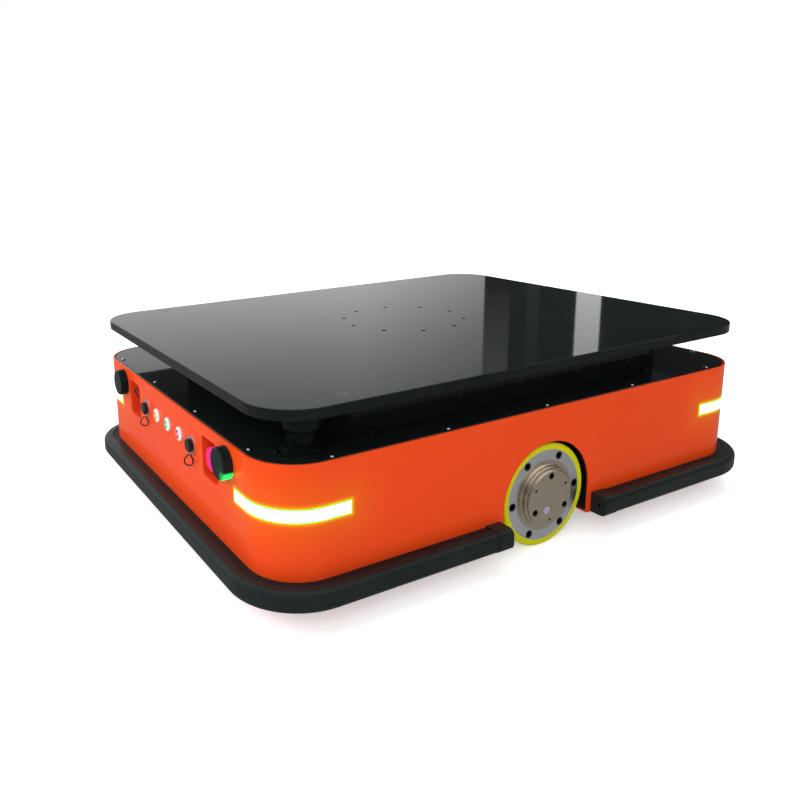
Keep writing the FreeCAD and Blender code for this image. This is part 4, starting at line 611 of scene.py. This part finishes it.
@dataclass(frozen=True)
class Antenna:
    """Greenish black plastic with a painted green reflection of the corner strip's light at its
    foot.

    Attributes:
        name: The material's name.
        colour: The plastic's colour.
        lamp: The colour of the painted green reflection, drawn as glow.
        reflection_at: The painted reflection's middle across the panel and its height, in metres.
        face: How far along the robot the panel lies, in metres.
        glow: How strongly the painted reflection shines.
        reach: The radius where the painted reflection is full, and where it ends, in metres.
        depth: How far from the panel the painted reflection is full, and where it ends, in metres.
        relief: The depth of the plastic's grain, in metres.
    """

    name: str
    colour: Colour = (0.006, 0.0125, 0.011)
    lamp: Colour = (0.0, 0.8, 0.12)
    reflection_at: tuple[float, float] = (0.27, 0.1955)
    face: float = -0.51
    glow: float = 1.8
    reach: tuple[float, float] = (0.0055, 0.0125)
    depth: tuple[float, float] = (0.0145, 0.0158)
    relief: float = 0.000006

    def build(self) -> bpy.types.Material:
        """Builds the material.

        Returns:
            The material.
        """
        made = Surface(self.name)
        x, y, z = made.apart()
        cloud = made.noise(SMALL_CLOUD, 3.0)
        colour = made.blend(
            made.spread(cloud, 0.0, 1.0), tinted(self.colour, 0.85), tinted(self.colour, 1.2)
        )
        made.feed(made.shader.inputs["Base Color"], colour)
        # The green glow near the puck's foot is a painted reflection of the corner strip's light,
        # not a lamp in the antenna.
        made.set(Roughness=0.3, Specular_IOR_Level=0.1, Emission_Color=self.lamp)
        across = made.math("SUBTRACT", x, self.reflection_at[0])
        up = made.math("SUBTRACT", z, self.reflection_at[1])
        off = made.distance(across, up)
        full, end = self.reach
        near = made.node("MapRange", Value=off, From_Min=end, From_Max=full)
        near.interpolation_type = "SMOOTHSTEP"
        full, end = (self.face - part for part in self.depth)
        side = made.node("MapRange", Value=y, From_Min=end, From_Max=full)
        share = made.math("MULTIPLY", near.outputs[0], side.outputs[0])
        made.feed(made.shader.inputs["Emission Strength"], made.math("MULTIPLY", share, self.glow))
        made.bump(made.noise(FINE_GRAIN, 2.0), self.relief)
        return made.material


@dataclass(frozen=True)
class LightCover:
    """A lit strip: white in the middle and green towards its edges and ends.

    Attributes:
        name: The material's name.
        middle: The height of the strip's middle, in metres.
        half: Half the strip's height, in metres.
        ends: Where the strips end on the front and on the sides, in metres.
        core: The colour in the middle.
        edge: The colour at the edges.
        glow: How strongly it shines.
        border: How wide the green edge is, in metres.
        ripple: How unevenly the edge runs, in metres.
    """

    name: str
    middle: float = 0.1695
    half: float = 0.0102
    ends: tuple[float, float] = (0.277, 0.385)
    core: Colour = (1.0, 1.0, 0.94)
    edge: Colour = (0.07, 0.75, 0.0)
    glow: float = 2.2
    border: float = 0.0045
    ripple: float = 0.0004

    def build(self) -> bpy.types.Material:
        """Builds the material.

        Returns:
            The material.
        """
        made = Surface(self.name)
        made.set(Roughness=0.35, Emission_Strength=self.glow)
        x, y, z = made.apart()
        off = made.math("ABSOLUTE", made.math("SUBTRACT", z, self.middle))
        edge = made.math("SUBTRACT", self.half, off)
        for place, end in ((x, self.ends[0]), (y, self.ends[1])):
            inside = made.math("SUBTRACT", made.math("ABSOLUTE", place), end)
            edge = made.math("MINIMUM", edge, inside)
        uneven = made.spread(made.noise(SMALL_CLOUD, 2.0), -self.ripple, self.ripple)
        edge = made.math("ADD", edge, uneven)
        ramp = made.node("MapRange", Value=edge, From_Min=self.border, From_Max=0.0)
        ramp.interpolation_type = "SMOOTHSTEP"
        colour = made.blend(ramp.outputs[0], self.core, self.edge)
        made.feed(made.shader.inputs["Base Color"], colour)
        made.feed(made.shader.inputs["Emission Color"], colour)
        return made.material


FINISHES = (
    ShellPaint("orange_coat", (0.73, 0.061, 0.009), roughness=0.12, tone=0.03, sheen=0.13),
    Paint("black_coat", (0.0065, 0.009, 0.009), 0.05, peel=0.0, dust=0.01, sheen=0.14),
    Paint("plate_coat", (0.0045, 0.0075, 0.0065), 0.045, peel=0.0, dust=0.012, sheen=0.14),
    Paint("dark_paint", (0.02, 0.02, 0.022), roughness=0.45),
    Paint("liner_paint", (0.004, 0.004, 0.0045), roughness=0.5, sheen=0.1),
    Paint("recess_coat", (0.68, 0.05, 0.01), roughness=0.4, sheen=0.2),
    Metal("plate_aluminium", (0.3, 0.305, 0.31), 0.35, (30.0, 1.0, 1.0)),
    Metal("black_anodised", (0.03, 0.03, 0.033), 0.4, (1.0, 1.0, 1.0)),
    Metal("zinc", (0.55, 0.56, 0.58), 0.26),
    RimScrews("rim_screws"),
    Moulded("black_oxide", (0.006, 0.007, 0.007), 0.3, 0.0006, 0.000006, sheen=0.3),
    Metal("hard_chrome", (0.7, 0.71, 0.73), 0.12, (8.0, 8.0, 1.0), 0.000003),
    Metal("turned_bronze", (0.55, 0.33, 0.12), 0.3, (8.0, 8.0, 1.0)),
    Metal("nickel", (0.9, 0.9, 0.91), 0.42),
    Turned("machined_ring", (0.8, 0.82, 0.84), roughness=0.27, relief=0.000005, grip=0.85),
    Turned("bronze_flange", (0.66, 0.58, 0.455), roughness=0.34, relief=0.000003, grip=0.25),
    Turned("tread", (0.56, 0.56, 0.002), 0.0, 0.4, 0.0022, 0.00003, sheen=0.08),
    WheelScrews("wheel_screws"),
    Moulded("caster_tread", (0.035, 0.035, 0.038), 0.5),
    Moulded("bumper_skin", (0.011, 0.0165, 0.0155), 0.36, 0.0012, 0.00002, sheen=0.16),
    Moulded("bumper_rail", (0.012, 0.0125, 0.013), 0.48, 0.0008, 0.00001, sheen=0.12),
    Moulded("black_plastic", (0.012, 0.012, 0.013), 0.42),
    Moulded("scanner_shell", (0.005, 0.008, 0.007), 0.18, 0.0008, 0.0, sheen=0.08),
    Moulded("scanner_lens", (0.003, 0.005, 0.005), 0.08, 0.0008, 0.0, sheen=0.08),
    # The stop head's glow is painted light: the head is no lamp, yet it shines in its own colour.
    Moulded("stop_red", (0.9, 0.006, 0.15), 0.35, 0.0006, 0.000006, 0.1, 0.35, 0.1),
    Moulded("bezel_white", (0.72, 0.72, 0.72), 0.3, 0.0006, 0.000006, 0.3),
    LitButton("lens_orange", (0.95, 0.2, 0.0), (-0.057, 0.196)),
    LitButton("lens_green", (0.0, 0.42, 0.09), (0.0, 0.196)),
    LitButton("lens_red", (0.9, 0.02, 0.1), (0.057, 0.196)),
    Moulded("cap_plastic", (0.012, 0.013, 0.0135), 0.35, 0.0006, 0.000006, sheen=0.25),
    Antenna("antenna_plastic"),
    Moulded("cord_sheath", (0.008, 0.008, 0.009), 0.4, 0.0006, 0.00001),
    LightCover("light_strip"),
)

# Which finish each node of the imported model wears.
DRESS = {
    "orange_coat": ("body_shell",),
    "black_coat": ("top_cover", "lift_skirt"),
    "plate_coat": ("load_plate",),
    "dark_paint": (
        "chassis_frame",
        "drive_brackets",
        "right_drive_unit",
        "left_drive_unit",
        "floor_camera",
    ),
    "liner_paint": ("wheel_bay_liners",),
    "recess_coat": ("estop_recess", "service_recess"),
    "plate_aluminium": ("jack_housings",),
    # base_plate wears this black rather than the bare aluminium of its record: painted shade of the
    # dark under the wheel arch.
    "black_anodised": ("base_plate", "battery_pack", "control_unit", "lift_motors"),
    "zinc": ("caster_plates", "estop_plunger"),
    "rim_screws": ("cover_screws",),
    "black_oxide": ("platform_screws",),
    "wheel_screws": ("right_wheel_screws", "left_wheel_screws"),
    "scanner_shell": ("scanner_housings",),
    "scanner_lens": ("scanner_windows",),
    "hard_chrome": ("lift_columns",),
    "turned_bronze": ("guide_bushes",),
    "nickel": ("cable_sockets",),
    "machined_ring": ("right_hub_ring", "left_hub_ring"),
    "bronze_flange": ("right_gear_flange", "left_gear_flange"),
    "tread": ("right_tyre", "left_tyre"),
    "bumper_skin": ("bumper_noses", "bumper_end_caps"),
    "bumper_rail": ("bumper_rails",),
    "black_plastic": ("skirt_guides", "estop_collar"),
    "stop_red": ("estop_head",),
    "bezel_white": ("button_bezels",),
    "lens_orange": ("left_button",),
    "lens_green": ("middle_button",),
    "lens_red": ("right_button",),
    "cap_plastic": ("left_dust_cap", "right_dust_cap", "service_dust_cap"),
    "antenna_plastic": ("puck_antennas",),
    "light_strip": ("corner_lights",),
}


class Wardrobe:
    """The finishes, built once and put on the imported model's nodes and on new pieces."""

    def __init__(self) -> None:
        """Builds every finish."""
        self.materials = {finish.name: finish.build() for finish in FINISHES}

    def wear(self, piece: bpy.types.Object, finish: str) -> None:
        """Gives a piece one finish all over.

        Args:
            piece: The piece.
            finish: The finish's name.
        """
        piece.data.materials.clear()
        piece.data.materials.append(self.materials[finish])

    def dress(self) -> None:
        """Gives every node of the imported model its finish."""
        for finish, nodes in DRESS.items():
            for node in nodes:
                self.repaint(node, finish)
        for corner in ("front_right", "front_left", "rear_right", "rear_left"):
            self.repaint(f"{corner}_caster_fork", "zinc")
            self.repaint(f"{corner}_caster_wheel", "caster_tread")

    def repaint(self, node: str, finish: str) -> None:
        """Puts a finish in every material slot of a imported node.

        Args:
            node: The node's name.
            finish: The finish's name.
        """
        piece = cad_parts[node]
        for slot in piece.material_slots:
            slot.material = self.materials[finish]
        log.info("%s wears %s", node, finish)


class Side(Enum):
    """Which of the three dust-capped sockets a lanyard hangs on."""

    LEFT = "left"
    RIGHT = "right"
    SERVICE = "service"


@dataclass
class Lanyards:
    """The loops of cord that keep the dust caps on their sockets.

    Attributes:
        diameter: The cord's diameter, in metres.
        panel_x: How far the two panel sockets stand from the middle, in metres.
        panel_y: How far along the robot the panel lies, in metres.
        panel_z: The height of the panel sockets, in metres.
        service: The middle of the service socket on its wall, in metres.
        hanging: The route of a loop on the panel, in millimetres from its socket.
        looped: The route of the loop in the service recess, in the same way.
    """

    diameter: float = 2.4 * MM
    panel_x: float = 114.0 * MM
    panel_y: float = -510.0 * MM
    panel_z: float = 195.0 * MM
    service: Point = (-178.0 * MM, -470.0 * MM, 192.5 * MM)
    hanging: tuple[Point, ...] = (
        (-2.4, -4.8, -15.0),
        (-2.6, -6.2, -17.8),
        (-4.6, -10.6, -21.0),
        (-6.6, -13.4, -27.4),
        (-5.0, -12.0, -34.0),
        (2.6, -5.4, -35.4),
        (7.4, -2.8, -29.4),
        (6.2, -2.8, -22.4),
        (3.0, -4.6, -18.0),
        (2.4, -4.8, -15.0),
    )
    looped: tuple[Point, ...] = (
        (-2.4, -4.8, -15.1),
        (-3.0, -6.4, -18.0),
        (-6.0, -11.0, -20.5),
        (-12.0, -17.5, -17.5),
        (-18.5, -25.5, -8.0),
        (-22.5, -32.5, 4.0),
        (-21.0, -36.5, 15.5),
        (-12.5, -37.0, 22.0),
        (-2.5, -35.0, 19.0),
        (4.0, -30.0, 9.5),
        (7.8, -24.4, -2.6),
        (9.8, -19.2, -11.6),
        (10.2, -15.0, -20.0),
        (7.2, -8.8, -25.0),
        (3.2, -4.8, -21.6),
        (2.4, -4.8, -15.0),
    )

    def build(self, wardrobe: Wardrobe) -> None:
        """Makes the three lanyards.

        Args:
            wardrobe: Where the cord's finish comes from.
        """
        for side, sign in ((Side.LEFT, -1.0), (Side.RIGHT, 1.0)):
            start = (sign * self.panel_x, self.panel_y, self.panel_z)
            self.loop(side, start, self.hanging, wardrobe)
        self.loop(Side.SERVICE, self.service, self.looped, wardrobe)

    def loop(
        self, side: Side, start: Point, route: Iterable[Point], wardrobe: Wardrobe
    ) -> None:
        """Makes one lanyard from its socket's lug and back to it.

        Args:
            side: The socket that it hangs on.
            start: The socket's middle on the face that it is fitted to.
            route: The loop's points from there, in millimetres.
            wardrobe: Where the cord's finish comes from.
        """
        points = [Vector(start) + MM * Vector(point) for point in route]
        curve = bpy.data.curves.new(f"{side.value}_lanyard_cord", "CURVE")
        curve.dimensions = "3D"
        curve.bevel_depth = self.diameter / 2
        curve.bevel_resolution = 5
        curve.resolution_u = 10
        curve.use_fill_caps = True
        spline = curve.splines.new("NURBS")
        spline.points.add(len(points) - 1)
        for spot, point in zip(spline.points, points):
            spot.co = (*point, 1.0)
        spline.order_u = 3
        spline.use_endpoint_u = True
        cord = bpy.data.objects.new(curve.name, curve)
        bpy.context.scene.collection.objects.link(cord)
        wardrobe.wear(cord, "cord_sheath")
        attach(cord, "chassis")
        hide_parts(f"{side.value}_lanyard")
        log.info("%s lanyard hangs on its socket", side.value)


@dataclass(frozen=True)
class Panel:
    """Part of the hall that the gloss reflects.

    Attributes:
        name: The panel's name.
        start: Where it starts round the robot, in degrees from the back.
        end: Where it ends.
        low: How bright it is near the floor.
        high: How bright it is higher up.
        fade: What is left of its brightness where it ends.
    """

    name: str
    start: float
    end: float
    low: float
    high: float
    fade: float = 1.0


@dataclass
class Studio:
    """The camera, the lamps, the floor and what the gloss reflects.

    Attributes:
        camera_at: Where the camera stands, in metres.
        yaw: Which way it looks, turned from the y axis towards the x axis, in radians.
        pitch: How far it looks up, in radians.
        roll: How far it leans, in radians.
        focal: The lens's focal length, in millimetres.
        shift: How far the lens is shifted across and up, as shares of the frame.
        floor_colour: The floor's colour.
        floor_lift: How much the floor shines for the camera and in reflections.
        floor_half: Half the floor's side, in metres.
        world_level: How strongly the white surround lights the robot.
        lamps: Each lamp's name, place, width and height, and power in watts.
        aim: Where the lamps point.
        hall_radius: How far away the reflected hall's wall stands, in metres.
        hall_foot: The height of the wall's foot, in metres.
        hall_top: The height of its top, in metres.
        hall_floor: How bright the floor is in reflections.
        dusk: The heights between which a panel turns from its low to its high brightness.
        panels: The panels that stand before the wall.
    """

    camera_at: Point = (1.2526, -0.9344, 0.6522)
    yaw: float = -1.075
    pitch: float = -0.229
    roll: float = -0.027
    focal: float = 35.05
    shift: tuple[float, float] = (0.1349, -0.0793)
    floor_colour: Colour = (0.92, 0.92, 0.92)
    floor_lift: float = 0.45
    floor_half: float = 30.0
    world_level: float = 0.67
    lamps: tuple[tuple[str, Point, tuple[float, float], float], ...] = (
        ("key_lamp", (3.1, -3.1, 2.9), (2.2, 2.2), 82.0),
        ("top_lamp", (-0.4, 0.3, 4.2), (3.0, 3.0), 50.0),
        ("front_lamp", (-1.8, -3.4, 2.0), (1.6, 1.6), 72.0),
        ("back_lamp", (-2.0, 3.5, 2.6), (2.4, 2.4), 60.0),
    )
    aim: Point = (0.0, 0.0, 0.15)
    hall_radius: float = 9.0
    hall_foot: float = 0.3
    hall_top: float = 6.0
    hall_floor: float = 0.3
    dusk: tuple[float, float] = (1.6, 3.6)
    panels: tuple[Panel, ...] = (
        Panel("pale_wall", -150.0, -57.0, 1.2, 0.7),
        Panel("pale_bay", -57.0, -46.4, 1.2, 0.7, 0.56),
        Panel("wall_edge", -46.4, -44.3, 0.02, 0.3),
        Panel("tall_window", -39.0, -37.1, 1.32, 1.32),
        Panel("far_door", -42.9, -41.9, 0.06, 0.06),
    )

    def build(self) -> None:
        """Makes the whole studio."""
        scene = bpy.context.scene
        scene.view_settings.view_transform = "Standard"
        self.camera(scene)
        self.world(scene)
        self.floor()
        self.surround()
        for name, place, size, power in self.lamps:
            self.lamp(name, place, size, power)
        log.info("studio is set")

    def camera(self, scene: bpy.types.Scene) -> None:
        """Sets the camera up from its yaw, pitch and roll.

        Args:
            scene: The scene that looks through it.
        """
        ahead = Vector(
            (
                math.sin(self.yaw) * math.cos(self.pitch),
                math.cos(self.yaw) * math.cos(self.pitch),
                math.sin(self.pitch),
            )
        )
        level = Vector((math.cos(self.yaw), -math.sin(self.yaw), 0.0))
        above = level.cross(ahead)
        right = level * math.cos(self.roll) + above * math.sin(self.roll)
        upward = above * math.cos(self.roll) - level * math.sin(self.roll)
        lens = bpy.data.cameras.new("camera")
        lens.lens = self.focal
        lens.sensor_width = 36.0
        lens.shift_x, lens.shift_y = self.shift
        lens.clip_end = 200.0
        made = bpy.data.objects.new("camera", lens)
        turn = Matrix((right, upward, -ahead)).transposed().to_4x4()
        made.matrix_world = Matrix.Translation(self.camera_at) @ turn
        scene.collection.objects.link(made)
        scene.camera = made

    def world(self, scene: bpy.types.Scene) -> None:
        """Makes an even surround that is white to the camera and softer as a light.

        Args:
            scene: The scene that it surrounds.
        """
        world = bpy.data.worlds.new("surround")
        world.use_nodes = True
        tree = world.node_tree
        tree.nodes.clear()
        path = tree.nodes.new("ShaderNodeLightPath")
        seen = tree.nodes.new("ShaderNodeMath")
        seen.operation = "MAXIMUM"
        clear = tree.nodes.new("ShaderNodeMath")
        clear.operation = "MAXIMUM"
        tree.links.new(path.outputs["Is Camera Ray"], seen.inputs[0])
        tree.links.new(path.outputs["Is Glossy Ray"], seen.inputs[1])
        tree.links.new(seen.outputs[0], clear.inputs[0])
        tree.links.new(path.outputs["Is Transmission Ray"], clear.inputs[1])
        level = tree.nodes.new("ShaderNodeMapRange")
        level.inputs["To Min"].default_value = self.world_level
        tree.links.new(clear.outputs[0], level.inputs["Value"])
        back = tree.nodes.new("ShaderNodeBackground")
        back.inputs["Color"].default_value = (1.0, 1.0, 1.0, 1.0)
        tree.links.new(level.outputs[0], back.inputs["Strength"])
        out = tree.nodes.new("ShaderNodeOutputWorld")
        tree.links.new(back.outputs[0], out.inputs["Surface"])
        scene.world = world

    def floor(self) -> None:
        """Lays a plain pale floor."""
        mesh = bpy.data.meshes.new("floor")
        mesh.from_pydata(self.square(self.floor_half, 0.0), [], [(0, 1, 2, 3)])
        made = bpy.data.objects.new("floor", mesh)
        bpy.context.scene.collection.objects.link(made)
        surface = Surface("floor_paint")
        surface.set(Roughness=0.9, Specular_IOR_Level=0.1)
        cloud = surface.spread(surface.noise(FLOOR_CLOUD, 2.0), 0.0, 1.0)
        colour = surface.blend(cloud, tinted(self.floor_colour, 0.995), self.floor_colour)
        surface.feed(surface.shader.inputs["Base Color"], colour)
        path = surface.node("LightPath")
        seen = surface.math("MAXIMUM", path.outputs["Is Camera Ray"], path.outputs["Is Glossy Ray"])
        seen = surface.math("MAXIMUM", seen, path.outputs["Is Transmission Ray"])
        surface.set(Emission_Color=(1.0, 1.0, 1.0))
        lift = surface.math("MULTIPLY", seen, self.floor_lift)
        surface.feed(surface.shader.inputs["Emission Strength"], lift)
        mesh.materials.append(surface.material)

    def square(self, half: float, height: float) -> list[Point]:
        """Returns the corners of a level square round the robot."""
        return [(half * x, half * y, height) for x, y in ((-1, -1), (1, -1), (1, 1), (-1, 1))]

    def surround(self) -> None:
        """Makes what the gloss shows: a grey floor, a dark wall far off and paler panels."""
        corners = self.square(self.hall_radius, MM)
        ground = self.mirrored("hall_floor", corners, [(0, 1, 2, 3)], (1.0, 1.0, 1.0))
        ground.set(Emission_Strength=self.hall_floor)
        dark = Panel("hall_wall", 0.0, 360.0, 0.035, 0.035)
        self.reflector(dark, self.hall_radius, (0.9, 0.95, 1.1))
        for panel in self.panels:
            self.reflector(panel, self.hall_radius * 0.97, (1.0, 1.0, 1.02))

    def reflector(self, panel: Panel, radius: float, colour: Colour) -> None:
        """Makes an upright curved panel that only shows in reflections.

        Args:
            panel: Its name, its reach round the robot and how bright it is.
            radius: How far away it stands.
            colour: The tint of its light.
        """
        steps = max(2, int(abs(panel.end - panel.start) / 3))
        points = []
        for step in range(steps + 1):
            angle = math.radians(panel.start + (panel.end - panel.start) * step / steps)
            x, y = radius * math.sin(angle), radius * math.cos(angle)
            points += [(x, y, self.hall_foot), (x, y, self.hall_top)]
        faces = [(2 * i, 2 * i + 2, 2 * i + 3, 2 * i + 1) for i in range(steps)]
        surface = self.mirrored(panel.name, points, faces, colour)
        x, y, z = surface.apart()
        bottom, top = self.dusk
        level = surface.node("MapRange", Value=z, From_Min=bottom, From_Max=top)
        level.inputs["To Min"].default_value = panel.low
        level.inputs["To Max"].default_value = panel.high
        turn = surface.math("ARCTAN2", x, y)
        ends = math.radians(panel.start), math.radians(panel.end)
        fade = surface.node("MapRange", Value=turn, From_Min=ends[0], From_Max=ends[1])
        fade.inputs["To Min"].default_value = 1.0
        fade.inputs["To Max"].default_value = panel.fade
        level = surface.math("MULTIPLY", level.outputs[0], fade.outputs[0])
        surface.feed(surface.shader.inputs["Emission Strength"], level)

    def mirrored(
        self,
        name: str,
        points: Sequence[Point],
        faces: Sequence[tuple[int, ...]],
        colour: Colour,
    ) -> Surface:
        """Makes a sheet that only shows in reflections.

        Args:
            name: The sheet's name.
            points: Its corners.
            faces: Its faces, by corner.
            colour: The tint of its light.

        Returns:
            Its surface, whose brightness isn't set yet.
        """
        mesh = bpy.data.meshes.new(name)
        mesh.from_pydata(points, [], faces)
        made = bpy.data.objects.new(name, mesh)
        bpy.context.scene.collection.objects.link(made)
        surface = Surface(name)
        surface.set(Base_Color=(0.0, 0.0, 0.0), Emission_Color=colour, Specular_IOR_Level=0.0)
        mesh.materials.append(surface.material)
        made.visible_camera = False
        made.visible_diffuse = False
        made.visible_shadow = False
        made.visible_transmission = False
        return surface

    def lamp(self, name: str, place: Point, size: tuple[float, float], power: float) -> None:
        """Hangs a soft box that points at the robot.

        Args:
            name: The lamp's name.
            place: Where it hangs.
            size: Its width and height, in metres.
            power: Its power, in watts.
        """
        light = bpy.data.lights.new(name, "AREA")
        light.shape = "RECTANGLE"
        light.size, light.size_y = size
        light.energy = power
        made = bpy.data.objects.new(name, light)
        aim = Vector(self.aim) - Vector(place)
        made.rotation_euler = aim.to_track_quat("-Z", "Y").to_euler()
        made.location = place
        made.visible_glossy = False
        bpy.context.scene.collection.objects.link(made)


def main() -> None:
    """Builds the scene."""
    logging.basicConfig(level=logging.INFO, format="%(message)s")
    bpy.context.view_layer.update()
    wardrobe = Wardrobe()
    wardrobe.dress()
    Lanyards().build(wardrobe)
    Studio().build()


if __name__ == "__main__":
    main()
